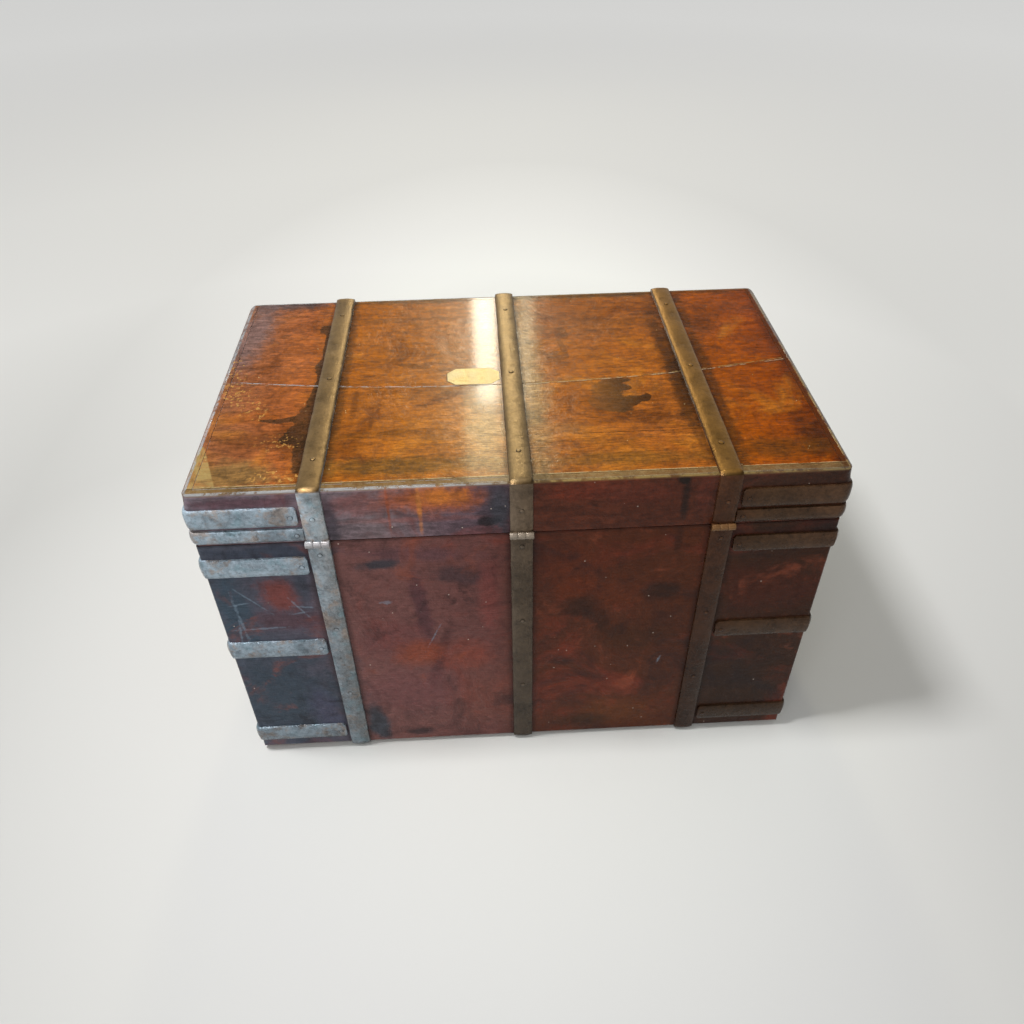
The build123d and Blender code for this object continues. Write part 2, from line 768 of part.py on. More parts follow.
# Handles, locks and stays, each made for the right and mirrored for the left where they differ
for side, way in sides.items():
    end_pieces = {"handle_plate": right_handle_plate(), "handle": right_handle_bail(),
                  "stay_arm": right_stay_arm()}
    for name, piece in end_pieces.items():
        save(piece if way > 0 else mirror(piece, about=Plane.YZ), f"{name}_{side}")
    x = way * lock_x
    save(lock_case(x), f"lock_case_{side}")
    save(lock_bolt(x), f"lock_bolt_{side}")
    save(link_plate(x), f"link_plate_{side}")
    save(keyhole_cover(x), f"keyhole_cover_{side}")
save(both_sides(right_stay_stud()), "stay_studs")
save(both_sides(right_stay_bracket()), "stay_brackets")
save(Compound(children=[escutcheon(way * lock_x) for way in sides.values()]), "keyhole_plates")
save(nails_of(handle_nail_places["left"] + handle_nail_places["right"]), "handle_nails")
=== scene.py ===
import math
import random

import bmesh
import bpy
from mathutils import Matrix, Vector, noise


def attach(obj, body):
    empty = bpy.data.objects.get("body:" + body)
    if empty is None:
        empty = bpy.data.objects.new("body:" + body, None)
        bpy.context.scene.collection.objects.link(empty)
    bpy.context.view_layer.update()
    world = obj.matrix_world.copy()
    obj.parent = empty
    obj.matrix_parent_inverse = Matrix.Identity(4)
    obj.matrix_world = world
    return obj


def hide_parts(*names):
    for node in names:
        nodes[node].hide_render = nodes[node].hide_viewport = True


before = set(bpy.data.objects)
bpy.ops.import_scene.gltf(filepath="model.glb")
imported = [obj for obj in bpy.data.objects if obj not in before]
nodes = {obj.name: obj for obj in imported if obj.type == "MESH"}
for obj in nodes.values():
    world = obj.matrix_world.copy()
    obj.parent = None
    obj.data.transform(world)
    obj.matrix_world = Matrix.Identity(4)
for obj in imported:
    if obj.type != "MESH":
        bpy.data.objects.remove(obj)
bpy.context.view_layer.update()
mm = 0.001

# The box boards
# Six mahogany boards, nailed and glued at the corners, stained oxblood and varnished outside and
# left bare inside. Along the back the colour runs from blue-grey at the right end, painted cool
# light, to dark brown at the left end, painted shade.

case_width, case_depth = 900 * mm, 540 * mm
strap_spacing = 282 * mm
box_inner_x, box_inner_y, box_floor = 428 * mm, 248 * mm, 23.5 * mm
skin_near, skin_far = 0.1 * mm, 0.4 * mm
patch_fade, endless = 3, 1e3


class Shade:
    """A value that varies over a surface. A sum written on it adds the Math node for it."""

    def __init__(self, finish, socket):
        self.finish = finish
        self.socket = socket

    def sum(self, operation, first, second):
        settings = {"operation": operation}
        return self.finish.node("ShaderNodeMath", settings, {0: first, 1: second})

    def __add__(self, other):
        return self.sum("ADD", self, other)

    def __radd__(self, other):
        return self.sum("ADD", other, self)

    def __sub__(self, other):
        return self.sum("SUBTRACT", self, other)

    def __rsub__(self, other):
        return self.sum("SUBTRACT", other, self)

    def __mul__(self, other):
        return self.sum("MULTIPLY", self, other)

    def __rmul__(self, other):
        return self.sum("MULTIPLY", other, self)

    def __abs__(self):
        return self.sum("ABSOLUTE", self, 0)

    def larger(self, other):
        return self.sum("MAXIMUM", self, other)


def paint(code):
    """A colour written as six hex digits, for a shader."""
    channels = [int(code[i:i + 2], 16) / 255 for i in (0, 2, 4)]
    linear = [c / 12.92 if c < 0.04045 else ((c + 0.055) / 1.055) ** 2.4 for c in channels]
    return (*linear, 1)


class Finish:
    """The nodes of one material, on the coordinates of the object itself."""

    def __init__(self, name):
        self.material = bpy.data.materials.new(name)
        self.material.use_nodes = True
        self.tree = self.material.node_tree
        self.shader = self.tree.nodes["Principled BSDF"]
        self.place = self.node("ShaderNodeTexCoord", out="Object")
        self.x, self.y, self.z = self.parts(self.place)
        facing = self.node("ShaderNodeTexCoord", out="Normal")
        self.facing_x, self.facing_y, self.facing_z = self.parts(facing)

    def node(self, kind, settings=None, values=None, out=0):
        """Adds one node: its settings first, then the values or links of its sockets."""
        made = self.tree.nodes.new(kind)
        for name, value in (settings or {}).items():
            if name == "stops":
                ramp = made.color_ramp.elements
                while len(ramp) < len(value):
                    ramp.new(0.5)
                for element, (position, colour) in zip(ramp, value):
                    element.position = position
                    element.color = colour
            else:
                setattr(made, name, value)
        for socket, value in (values or {}).items():
            if isinstance(value, Shade):
                self.tree.links.new(value.socket, made.inputs[socket])
            else:
                made.inputs[socket].default_value = value
        return Shade(self, made.outputs[out])

    def parts(self, vector):
        """The three numbers of a vector."""
        made = self.node("ShaderNodeSeparateXYZ", values={0: vector}).socket.node
        return [Shade(self, made.outputs[i]) for i in range(3)]

    def stretched(self, scale, shift=(0, 0, 0)):
        """Object coordinates, scaled along each axis, for a pattern that runs with the grain."""
        values = {"Vector": self.place, "Scale": scale, "Location": shift}
        return self.node("ShaderNodeMapping", values=values)

    def noise(self, scale, detail=4, vector=None, rough=0.55, warp=0):
        """A cloud pattern from 0 to 1."""
        values = {"Vector": vector or self.place, "Scale": scale, "Detail": detail,
                  "Roughness": rough, "Distortion": warp}
        return self.node("ShaderNodeTexNoise", values=values)

    def between(self, value, low, high, start=0, end=1):
        """Eases from start to end as the value goes from low to high."""
        values = {"Value": value, "From Min": low, "From Max": high, "To Min": start, "To Max": end}
        return self.node("ShaderNodeMapRange", {"interpolation_type": "SMOOTHSTEP"}, values)

    def past(self, value, face):
        """Whether a value lies past a face of the wood, with a soft edge."""
        return self.between(value, face + skin_near, face + skin_far)

    def mix(self, share, under, over):
        """One colour laid over another."""
        values = {0: share, 6: under, 7: over}
        return self.node("ShaderNodeMix", {"data_type": "RGBA"}, values, out=2)

    def scaled(self, colour, factor):
        """A colour made darker or lighter without a change of hue."""
        return self.node("ShaderNodeHueSaturation", values={"Color": colour, "Value": factor})

    def ramp(self, value, *stops):
        """A colour from a row of colours."""
        settings = {"stops": [(position, paint(code)) for position, code in stops]}
        return self.node("ShaderNodeValToRGB", settings, {0: value})

    def along_case(self, clouds, wander):
        """How far along the case a point lies, from 0 at the left end to 1, made uneven."""
        return (self.x + (clouds - 0.5) * wander + case_width / 2) * (1 / case_width)

    def tones(self, along, table):
        """A colour from a table of places along the case and their colours."""
        return self.ramp(along, *[((x + case_width / 2) / case_width, tone) for x, tone in table])

    def from_strap(self):
        """How far a point lies from the middle line of the nearest strap."""
        return abs(abs(abs(self.x) - strap_spacing / 2) - strap_spacing / 2)

    def patch(self, centre, reach, turn=0, ragged=None, soft=0.5, axis=2):
        """Where an oval patch lies: centre and reach in mm in the plane across the axis."""
        place, size = [v * mm for v in centre], [v * patch_fade * mm for v in reach]
        place.insert(axis, 0)
        size.insert(axis, endless)
        spin = [0, 0, 0]
        spin[axis] = math.radians(turn)
        values = {"Vector": self.place, "Location": place, "Rotation": spin, "Scale": size}
        oval = self.node("ShaderNodeMapping", {"vector_type": "TEXTURE"}, values)
        settings = {"gradient_type": "SPHERICAL"}
        near = self.node("ShaderNodeTexGradient", settings, {0: oval}, out="Fac")
        if ragged is not None:
            near = near - ragged
        edge = patch_fade - 1
        return self.between(near, (edge - soft) / patch_fade, (edge + soft) / patch_fade)

    def specks(self, scale, share, size=0.8):
        """Small dots, at most one to a cell of the scale, about size mm across their soft edge."""
        values = {"Vector": self.place, "Scale": scale}
        far = self.node("ShaderNodeTexVoronoi", values=values, out="Distance")
        cell = self.node("ShaderNodeTexVoronoi", values=values, out="Color")
        chance = self.node("ShaderNodeSeparateColor", values={0: cell}, out="Red")
        radius = size * mm * scale
        return self.between(far, radius * 0.6, radius * 1.3, 1, 0) * self.between(
            chance, 1 - share - 0.01, 1 - share + 0.01)

    def stain(self, ovals, ragged, axis=2):
        """One blot made of oval patches that run together, with a torn edge."""
        field = 0
        for centre, reach, turn in ovals:
            field = self.patch(centre, reach, turn, None, 0.95, axis) + field
        return self.between(field + ragged, 0.42, 0.58)

    def shaded(self, colour, value, low, high, start, end):
        """A colour made darker or lighter as a value goes from low to high."""
        return self.scaled(colour, self.between(value, low, high, start, end))

    def tinged(self, colour, value, low, high, share, code):
        """A colour with up to a share of another laid over it as a value goes from low to high."""
        return self.mix(self.between(value, low, high, 0, share), colour, paint(code))

    def marked(self, colour, marks, ragged, axis=2, where=None):
        """A colour with a row of patches laid over it, one after another."""
        for centre, reach, turn, code, share, soft in marks:
            mark = self.patch(centre, reach, turn, ragged, soft, axis)
            if where is not None:
                mark = mark * where
            colour = self.mix(mark * share, colour, paint(code))
        return colour

    def relief(self, height, depth, under=None):
        """A bump in the surface, its height in metres times depth."""
        values = {"Height": height, "Distance": depth, "Strength": 1}
        if under is not None:
            values["Normal"] = under
        return self.node("ShaderNodeBump", values=values)

    def set(self, **values):
        """Sets or links sockets of the shader, with their names' spaces as underscores."""
        for name, value in values.items():
            socket = self.shader.inputs[name.replace("_", " ")]
            if isinstance(value, Shade):
                self.tree.links.new(value.socket, socket)
            else:
                socket.default_value = value


def dress(finish, *names):
    """Gives CAD nodes their finish."""
    for name in names:
        nodes[name].data.materials.clear()
        nodes[name].data.materials.append(finish.material)


# Tones along the back: blue-grey at the right end is painted cool light, dark brown at the left end
# painted shade.
back_tones_with_painted_light = [
    (-0.45, "361f14"), (-0.3, "3a2215"), (-0.27, "4d2614"), (-0.02, "51291a"), (0.05, "67403c"),
    (0.26, "77504c"), (0.305, "55505c"), (0.45, "4c525f"),
]
back_clouds = [
    ((370, 140), (84, 110), 0, "384450", 0.9, 0.5), ((330, 110), (22, 60), 12, "4c4a60", 0.6, 0.5),
    ((352, 382), (26, 34), 10, "7c4038", 0.85, 0.5), ((345, 322), (60, 20), -8, "583c42", 0.7, 0.5),
    ((425, 340), (22, 80), 0, "3a4c5a", 0.8, 0.5), ((320, 400), (12, 40), 0, "3c4450", 0.7, 0.5),
    ((350, 466), (90, 10), 0, "3a4250", 0.8, 0.4), ((246, 60), (16, 60), 6, "32424c", 0.85, 0.5),
    ((207, 433), (34, 10), 6, "353a42", 0.85, 0.5), ((90, 405), (40, 16), -10, "3c3034", 0.7, 0.5),
    ((160, 450), (80, 12), -5, "5c4046", 0.6, 0.6), ((150, 330), (12, 80), 6, "4c3036", 0.7, 0.5),
    ((128, 230), (9, 70), -14, "4a2c2c", 0.7, 0.5), ((200, 270), (50, 40), 0, "6a3c3c", 0.5, 0.6),
    ((162, 236), (34, 26), 10, "8a442c", 0.7, 0.6), ((88, 228), (36, 30), 0, "864030", 0.6, 0.6),
    ((48, 356), (14, 60), 0, "80403a", 0.5, 0.6), ((180, 140), (80, 50), 0, "6f4446", 0.5, 0.6),
    ((180, 28), (24, 9), 0, "332c30", 0.7, 0.5), ((60, 120), (50, 70), 0, "74463a", 0.4, 0.6),
    ((-82, 372), (34, 26), -20, "6b2e14", 0.6, 0.6), ((-90, 330), (30, 20), 30, "2c1a12", 0.7, 0.5),
    ((-118, 300), (14, 34), 20, "2e1a12", 0.6, 0.5), ((-140, 352), (34, 30), 0, "602c16", 0.6, 0.6),
    ((-212, 350), (26, 16), 0, "2b1a12", 0.7, 0.5), ((-180, 250), (60, 30), 0, "38200f", 0.5, 0.6),
    ((-70, 420), (50, 30), 0, "5c2a18", 0.6, 0.6), ((-160, 60), (60, 34), 0, "5e3216", 0.7, 0.6),
    ((-100, 40), (40, 16), 0, "2e2012", 0.6, 0.5), ((-224, 460), (5, 30), 0, "281812", 0.5, 0.7),
    ((-370, 350), (70, 50), 0, "482014", 0.7, 0.5), ((-360, 130), (80, 80), 0, "2e1c12", 0.8, 0.5),
    ((-380, 466), (70, 10), 0, "2a1c16", 0.7, 0.5), ((-350, 38), (60, 16), 0, "3c2416", 0.5, 0.6),
]
back_scratches = [
    ((421, 326), (2, 44), 4), ((427, 300), (1.6, 30), -6), ((395, 309), (32, 1.4), 2),
    ((330, 350), (1.4, 20), 30), ((322, 352), (14, 1.6), -8), ((398, 372), (1.2, 26), 40),
    ((412, 364), (14, 1.2), 10), ((330, 340), (12, 1.4), 12), ((140, 266), (1.2, 22), -24),
    ((203, 353), (6, 3), 0), ((-220, 192), (1.4, 7), -14),
]


def box_wood(name, along):
    """Stained and varnished mahogany, its grain along X, Y or Z, bare on the inside of the box."""
    finish = Finish(name)
    grain_scale = [430, 430, 430]
    grain_scale["XYZ".index(along)] = 26
    grain = finish.noise(1, 4, finish.stretched(grain_scale), 0.7, 0.3)
    clouds = finish.noise(6, 8, rough=0.66, warp=1)
    flames = finish.noise(13, 9, rough=0.64, warp=0.9)
    mottle = finish.noise(85, 6, rough=0.72)
    ragged = (finish.noise(20, 9, rough=0.74) - 0.5) * 0.87
    back_tone_with_painted_light = finish.tones(finish.along_case(clouds, 0.06), back_tones_with_painted_light)
    on_back = finish.between(finish.facing_y, 0.4, 0.7)
    colour = finish.mix(on_back, paint("5a3028"), back_tone_with_painted_light)
    colour = finish.tinged(colour, clouds, 0.5, 0.66, 0.45, "7e3424")
    dark = finish.between(finish.noise(4, 7, rough=0.6, warp=0.6), 0.5, 0.62) * (1 - on_back)
    colour = finish.mix(dark * 0.55, colour, paint("2c1c18"))
    colour = finish.marked(colour, back_clouds, ragged, 1, on_back)
    colour = finish.tinged(colour, flames, 0.48, 0.7, 0.55, "20191c")
    colour = finish.tinged(colour, flames, 0.44, 0.28, 0.45, "904a32")
    colour = finish.shaded(colour, mottle, 0.3, 0.7, 1.22, 0.8)
    colour = finish.shaded(colour, grain, 0.35, 0.68, 1.06, 0.86)
    chalk = finish.noise(150, 3)
    for centre, reach, turn in back_scratches:
        line = finish.patch(centre, reach, turn, (chalk - 0.5) * 1.4, 0.8, axis=1)
        colour = finish.mix(line * on_back * 0.36, colour, paint("879cae"))
    colour = finish.mix(finish.specks(45, 0.6, 1) * 0.85, colour, paint("d2c2b4"))
    # Painted shade: the wood is darkened beside each strap.
    strap_shade = finish.from_strap() + (mottle - 0.5) * 0.01
    colour = finish.shaded(colour, strap_shade, 0.0165, 0.027, 0.55, 1)
    # Painted shadow: the top edge of the box, in the gap under the lid, is darkened.
    colour = finish.shaded(colour, finish.z, 0.481, 0.4765, 0.55, 1)
    bare = finish.ramp(grain * 0.7 + clouds * 0.3, (0.34, "5e3c22"), (0.5, "86603a"),
                       (0.66, "a0784c"))
    bare = finish.shaded(bare, flames, 0.4, 0.62, 1.1, 0.75)
    outside = finish.past(abs(finish.x), box_inner_x) + finish.past(abs(finish.y), box_inner_y)
    outside = outside + finish.between(finish.z, box_floor - skin_far, box_floor - skin_near, 1, 0)
    outside = finish.between(outside, 0, 1)
    finish.set(Base_Color=finish.mix(outside, bare, colour), Specular_IOR_Level=0.1)
    polish = finish.between(mottle, 0.3, 0.7, 0.22, 0.4)
    finish.set(Roughness=polish * outside + 0.62 * (1 - outside))
    waves = finish.relief(clouds, 0.003)
    finish.set(Normal=finish.relief(grain * 0.4 + mottle * 0.6, 0.0005, waves))
    return finish


box_wood_level = box_wood("box_wood_grain_level", "X")
box_wood_end = box_wood("box_wood_grain_end", "Y")
dress(box_wood_level, "front_board", "back_board", "bottom_board_front", "bottom_board_back")
dress(box_wood_end, "end_board_left", "end_board_right")

# The box straps
# Three straps of 32 mm half-oval wrought iron, forged by hand, that run from the hinges down the
# back, under the bottom and up the front. Their top ends are rolled into the outer hinge loops.

wood_base, parting, lid_top = 5.5 * mm, 482.5 * mm, 570.5 * mm
rim_gap = 0.6 * mm
strap_width, strap_thick, strap_edge = 32 * mm, 5.5 * mm, 2.2 * mm
strap_places = {"left": -strap_spacing, "middle": 0, "right": strap_spacing}
box_bend, lid_bend = 5.7 * mm, 3.7 * mm
bar_step, bar_sides = 3 * mm, 24
wobble_size, wobble_rate = 0.5 * mm, 24
hollow_size, hollow_rate = 0.25 * mm, 60
pin_radius, loop_radius = 2.6 * mm, 5.6 * mm
loop_length, loop_gap = 11 * mm, 0.3 * mm
loop_web, loop_edge = 9 * mm, 0.5 * mm
loop_sweep, loop_steps = 318, 30
crease_angle = math.radians(38)
hinge_y = case_depth / 2 + loop_radius + 0.3 * mm


def half_oval_bar(length, width, thick, edge, clip, seed):
    """A straight bar along X, its flat side at Z = 0, drawn from a round rod and hammered out."""
    bar = bmesh.new()
    turn = Matrix.Rotation(math.radians(90), 4, "Y")
    shift = Matrix.Translation((length / 2, 0, 0))
    bmesh.ops.create_cone(bar, cap_ends=True, segments=bar_sides, radius1=1, radius2=1,
                          depth=length, matrix=shift @ turn)
    lengthwise = [e for e in bar.edges if abs(e.verts[0].co.x - e.verts[1].co.x) > length / 2]
    bmesh.ops.subdivide_edges(bar, edges=lengthwise, cuts=round(length / bar_step))
    for vert in bar.verts:
        x, y, z = vert.co
        nearest = min(x, length - x)
        inset = clip - math.sqrt(max(0, clip ** 2 - (clip - min(nearest, clip)) ** 2))
        wobble = noise.noise((x * wobble_rate, seed, math.copysign(3, y))) * wobble_size
        hollow = noise.noise((x * hollow_rate, seed, y * 2)) * hollow_size
        vert.co.y = y * (width / 2 - inset + wobble)
        vert.co.z = edge * min(1, max(0, z) * 4) + (thick - edge + hollow) * max(0, z) ** 0.85
    return bar


def run_length(corners, bend):
    """The length of a path through square corners that are turned at a bend."""
    runs = sum((b - a).length for a, b in zip(corners, corners[1:]))
    return runs - (len(corners) - 2) * bend * (2 - math.pi / 2)


def bent(bar, corners, bend, place):
    """Bends a straight bar along the corners of a plane path, its flat side inwards."""
    pieces, start = [], 0
    for number, (before, after) in enumerate(zip(corners, corners[1:])):
        ahead = (after - before).normalized()
        out = Vector((-ahead.y, ahead.x))
        first, last = number == 0, number == len(corners) - 2
        origin = before if first else before + ahead * bend
        run = (after - origin).length - (0 if last else bend)
        pieces.append((start, False, origin, ahead, out))
        start += run
        if not last:
            centre = after - (ahead + out) * bend
            pieces.append((start, True, centre, ahead, out))
            start += bend * math.pi / 2
    for vert in bar.verts:
        along, across, height = vert.co
        reached = [p for p in pieces if p[0] <= max(along, 0)]
        begin, curved, origin, ahead, out = reached[-1]
        if curved:
            angle = (along - begin) / bend
            out = out * math.cos(angle) + ahead * math.sin(angle)
            point = origin + out * (bend + height)
        else:
            point = origin + ahead * (along - begin) + out * height
        vert.co = place(point, across)
    return bar


def rolled_loop(x, leaf):
    """One hinge loop, the strap's thinned end rolled round the pin. Leaf is -1 below, 1 above."""
    loop = bmesh.new()
    half = loop_length / 2
    corners = [(x - half, -loop_radius), (x + half, -loop_radius),
               (x + half, -pin_radius), (x - half, -pin_radius)]
    root = parting + leaf * loop_web
    web = loop.faces.new([loop.verts.new((a, hinge_y + b, root)) for a, b in corners])
    lifted = bmesh.ops.extrude_face_region(loop, geom=[web])["geom"]
    bmesh.ops.translate(loop, verts=[v for v in lifted if isinstance(v, bmesh.types.BMVert)],
                        vec=(0, 0, -leaf * loop_web))
    end = [f for f in lifted if isinstance(f, bmesh.types.BMFace)]
    bmesh.ops.spin(loop, geom=end, cent=(x, hinge_y, parting), axis=(1, 0, 0),
                   angle=math.radians(leaf * loop_sweep), steps=loop_steps)
    sharp = [e for e in loop.edges if e.is_manifold and e.calc_face_angle(0) > 1]
    bmesh.ops.bevel(loop, geom=sharp, offset=loop_edge, affect="EDGES", segments=2, profile=0.5,
                    material=-1)
    return loop


def joined(shapes):
    """Several meshes as one."""
    whole = bmesh.new()
    for shape in shapes:
        part = bpy.data.meshes.new("part")
        shape.to_mesh(part)
        shape.free()
        whole.from_mesh(part)
        bpy.data.meshes.remove(part)
    return whole


def piece(shape, name, finish, body, slot, *stands_for):
    """Makes the finished object of a mesh, on its body and in place of its CAD nodes."""
    bmesh.ops.recalc_face_normals(shape, faces=shape.faces)
    mesh = bpy.data.meshes.new(name)
    shape.to_mesh(mesh)
    shape.free()
    mesh.shade_smooth()
    mesh.set_sharp_from_angle(angle=crease_angle)
    mesh.materials.append(finish.material)
    made = bpy.data.objects.new(name, mesh)
    bpy.context.scene.collection.objects.link(made)
    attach(made, body)
    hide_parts(*stands_for)
    return made


# Tones along the upright iron: blue-grey at the right end is painted cool light, dark brown at the
# left end painted shade.
iron_back_tones_with_painted_light = [
    (-0.45, "422e1f"), (-0.33, "3c2919"), (-0.28, "361e0f"), (-0.1, "3b2b1e"), (0, "463a2d"),
    (0.15, "5e5750"), (0.27, "727577"), (0.31, "7f8b95"), (0.45, "86949f"),
]
# Tones of the straps' tops: golden brown, partly patina and partly a painted warm reflection.
iron_top_tones_with_painted_light = [(-0.32, "926b34"), (-0.24, "926b34"), (-0.05, "99805a"), (0.05, "99805a"),
                  (0.24, "8c724c"), (0.32, "8c724c")]


def strap_iron(name, heads=False):
    """Pitted wrought iron. On top it is golden brown, partly patina and partly a painted warm
    reflection, with painted shade at the sides of the crown; behind it runs from blue-grey at the
    right end, painted cool light, to dark brown at the left end, painted shade. Faces turned down
    get painted shade and the shoulders below the lid top a painted highlight.
    """
    finish = Finish(name)
    clouds = finish.noise(24, 8, rough=0.7)
    pits = finish.noise(170, 5, rough=0.66)
    spots = finish.noise(90, 7, rough=0.72)
    tinge = finish.noise(38, 7, rough=0.68)
    along = finish.along_case(clouds, 0.04)
    upright = finish.tones(along, iron_back_tones_with_painted_light)
    # On the right part of the case the iron is tinted blue-grey in patches, painted cool light, and
    # warm grey in others.
    cool_lit_side = finish.between(finish.x, 0.02, 0.25)
    painted_cool_tint = finish.between(tinge, 0.52, 0.66, 0, 0.5) * cool_lit_side
    upright = finish.mix(painted_cool_tint, upright, paint("5f7c86"))
    browned = finish.between(tinge, 0.5, 0.36, 0, 0.75) * cool_lit_side
    upright = finish.mix(browned, upright, paint("82746a"))
    plain = finish.mix(finish.between(clouds, 0.4, 0.6), paint("564c42"), paint("6a6056"))
    upright = finish.mix(finish.between(finish.y, 0.25, 0), upright, plain)
    on_strap = finish.between(abs(finish.x), 0.2985, 0.2987, 1, 0)
    on_lid = finish.between(finish.z, 0.484, 0.486) * on_strap
    upright = finish.scaled(upright, on_lid * 0.35 + 1)
    upright = finish.shaded(upright, finish.z, 0.03, 0.5, 0.78, 1.34)
    # The top colour: partly patina, partly a painted warm reflection; where the crown turns down at
    # its sides it is darkened by painted shade.
    top_colour_with_painted_light = finish.tones(along, iron_top_tones_with_painted_light)
    top_colour_with_painted_light = finish.tinged(top_colour_with_painted_light, finish.facing_z, 0.985, 0.84, 0.9, "3e2c16")
    on_top = finish.between(finish.facing_z, 0.3, 0.6) * finish.between(finish.z, 0.568, 0.573)
    colour = finish.mix(on_top, upright, top_colour_with_painted_light)
    rough = 1 - on_top * 0.45
    colour = finish.scaled(colour, (finish.between(clouds, 0.3, 0.7, 0.7, 1.4) - 1) * rough + 1)
    colour = finish.scaled(colour, (finish.between(spots, 0.54, 0.66, 1.04, 0.6) - 1) * rough + 1)
    colour = finish.scaled(colour, (finish.between(pits, 0.36, 0.7, 1.08, 0.74) - 1) * rough + 1)
    # Painted shade: faces that turn downwards are darkened, down to half.
    underside_painted_shade = finish.between(finish.facing_z, -0.7, 0.1, 0.5, 1)
    colour = finish.scaled(colour, underside_painted_shade)
    # Painted highlight: upward-facing shoulders below the lid top are lightened, in patches.
    shoulder_highlight = finish.between(finish.facing_z, 0.35, 0.6) * finish.between(finish.facing_z, 1, 0.93)
    shoulder_highlight = shoulder_highlight * finish.between(finish.z, 0.56, 0.558) * finish.between(spots, 0.56, 0.44)
    colour = finish.scaled(colour, shoulder_highlight * 0.7 + 1)
    loop_tone = finish.ramp(along, (0.2, "7c5a38"), (0.5, "8e8274"), (0.8, "a5a2a4"))
    worn = finish.between(finish.y, 0.2762, 0.2775)
    colour = finish.mix(worn * 0.85, colour, loop_tone)
    if heads:
        # Painted shade and light on each head: its rim, turned away from straight out, is darkened,
        # and its crown lightened.
        straight = abs(finish.facing_x).larger(abs(finish.facing_y)).larger(finish.facing_z)
        colour = finish.shaded(colour, straight, 0.9, 0.975, 0.35, 1.15)
    finish.set(Base_Color=colour, Metallic=on_top * 0.5 + 0.25, Specular_IOR_Level=0.2)
    sheen = finish.between(pits * 0.3 + clouds * 0.7, 0.3, 0.7, 0.2, 0.36)
    finish.set(Roughness=sheen + on_top * 0.06)
    dents = finish.relief(clouds, 0.0014)
    finish.set(Normal=finish.relief(pits * (1 - on_top), 0.0003, dents))
    return finish


iron = strap_iron("strap_iron")
back, front = case_depth / 2, -case_depth / 2
loop_pitch = loop_length + loop_gap
loop_room = loop_radius + loop_gap
for number, (side, x) in enumerate(strap_places.items()):
    corners = [Vector((back, parting - loop_room)), Vector((back, wood_base)),
               Vector((front, wood_base)), Vector((front, parting - rim_gap / 2))]
    bar = half_oval_bar(run_length(corners, box_bend), strap_width, strap_thick, strap_edge, 0,
                        number)
    bent(bar, corners, box_bend, lambda point, across: (x + across, point.x, point.y))
    loops = [rolled_loop(x - loop_pitch, -1), rolled_loop(x + loop_pitch, -1)]
    piece(joined([bar, *loops]), f"forged_box_strap_{side}", iron, "box", "strap_iron",
          f"box_strap_{side}")

# The end bands of the box
# Three half-oval bands round each end, of the same iron as the straps. They stop 4 mm short of the
# strap on the back and the front, where their ends are rounded and nailed.

band_thick, band_edge, band_clip = 5 * mm, 2 * mm, 5 * mm
band_start, band_seed = 302 * mm, 10
corner_bend = 3.7 * mm
box_bands = {
    "top_band_right": (421.5, 34), "top_band_left": (430.5, 30),
    "mid_band_right": (245.5, 35), "mid_band_left": (245.5, 35),
    "low_band_right": (29, 34.5), "low_band_left": (29, 34.5),
}


def end_band(side, low, height, start, bend, clip, seed):
    """A band from the back, round one end of the case, to the front."""
    half = case_width / 2
    corners = [Vector((start, back)), Vector((half, back)),
               Vector((half, front)), Vector((start, front))]
    if side == "left":
        corners = [Vector((-c.x, c.y)) for c in reversed(corners)]
    bar = half_oval_bar(run_length(corners, bend), height, band_thick, band_edge, clip, seed)
    middle = low + height / 2
    return bent(bar, corners, bend, lambda point, across: (point.x, point.y, middle + across))


for number, (name, (low, height)) in enumerate(box_bands.items()):
    band = end_band(name.split("_")[2], low * mm, height * mm, band_start, corner_bend, band_clip,
                    band_seed + number)
    piece(band, f"forged_{name}", iron, "box", "strap_iron", name)

# The nails of the box
# Hand-made nails with low round heads, driven through the iron into the boards and filed nearly
# flush, three down each strap on the back and front and four in each band.

nail_radius, nail_rise = 4 * mm, 1.1 * mm
nail_spread, nail_lean = (0.92, 1.06), 0.03
dome_segments, dome_rings = 20, 10
strap_shares = (0.045, 0.37, 0.695)
nail_iron = strap_iron("nail_iron", heads=True)
band_nail_margin = 9 * mm
band_end_shares = (-0.3, 0.3)
scatter = random.Random(7)


def nail_head(point, out):
    """A low round head that stands on the iron at a point."""
    head = bmesh.new()
    size = nail_radius * scatter.uniform(*nail_spread)
    turn = Vector(out).to_track_quat("Z", "Y").to_matrix().to_4x4()
    lean = Matrix.Rotation(scatter.uniform(-nail_lean, nail_lean), 4, "X")
    scale = Matrix.Diagonal((size, size, nail_rise, 1))
    bmesh.ops.create_uvsphere(head, u_segments=dome_segments, v_segments=dome_rings, radius=1,
                              matrix=Matrix.Translation(point) @ turn @ lean @ scale)
    return head


def band_nails(side, low, height, start, thick):
    """Where the four nails of a band go."""
    way = 1 if side == "right" else -1
    middle = low + height / 2
    x = way * (start + band_nail_margin)
    places = [((x, y_way * (back + thick), middle), (0, y_way, 0)) for y_way in (1, -1)]
    for share in band_end_shares:
        places.append(((way * (case_width / 2 + thick), share * case_depth, middle), (way, 0, 0)))
    return places


box_nail_places = []
box_rim = parting - rim_gap / 2
face_height = box_rim - wood_base
for x in strap_places.values():
    for share in strap_shares:
        level = box_rim - share * face_height
        box_nail_places.append(((x, back + strap_thick, level), (0, 1, 0)))
        box_nail_places.append(((x, front - strap_thick, level), (0, -1, 0)))
for name, (low, height) in box_bands.items():
    box_nail_places += band_nails(name.split("_")[2], low * mm, height * mm, band_start, band_thick)
piece(joined([nail_head(*place) for place in box_nail_places]), "round_box_nails", nail_iron, "box",
      "strap_iron", "box_nails")
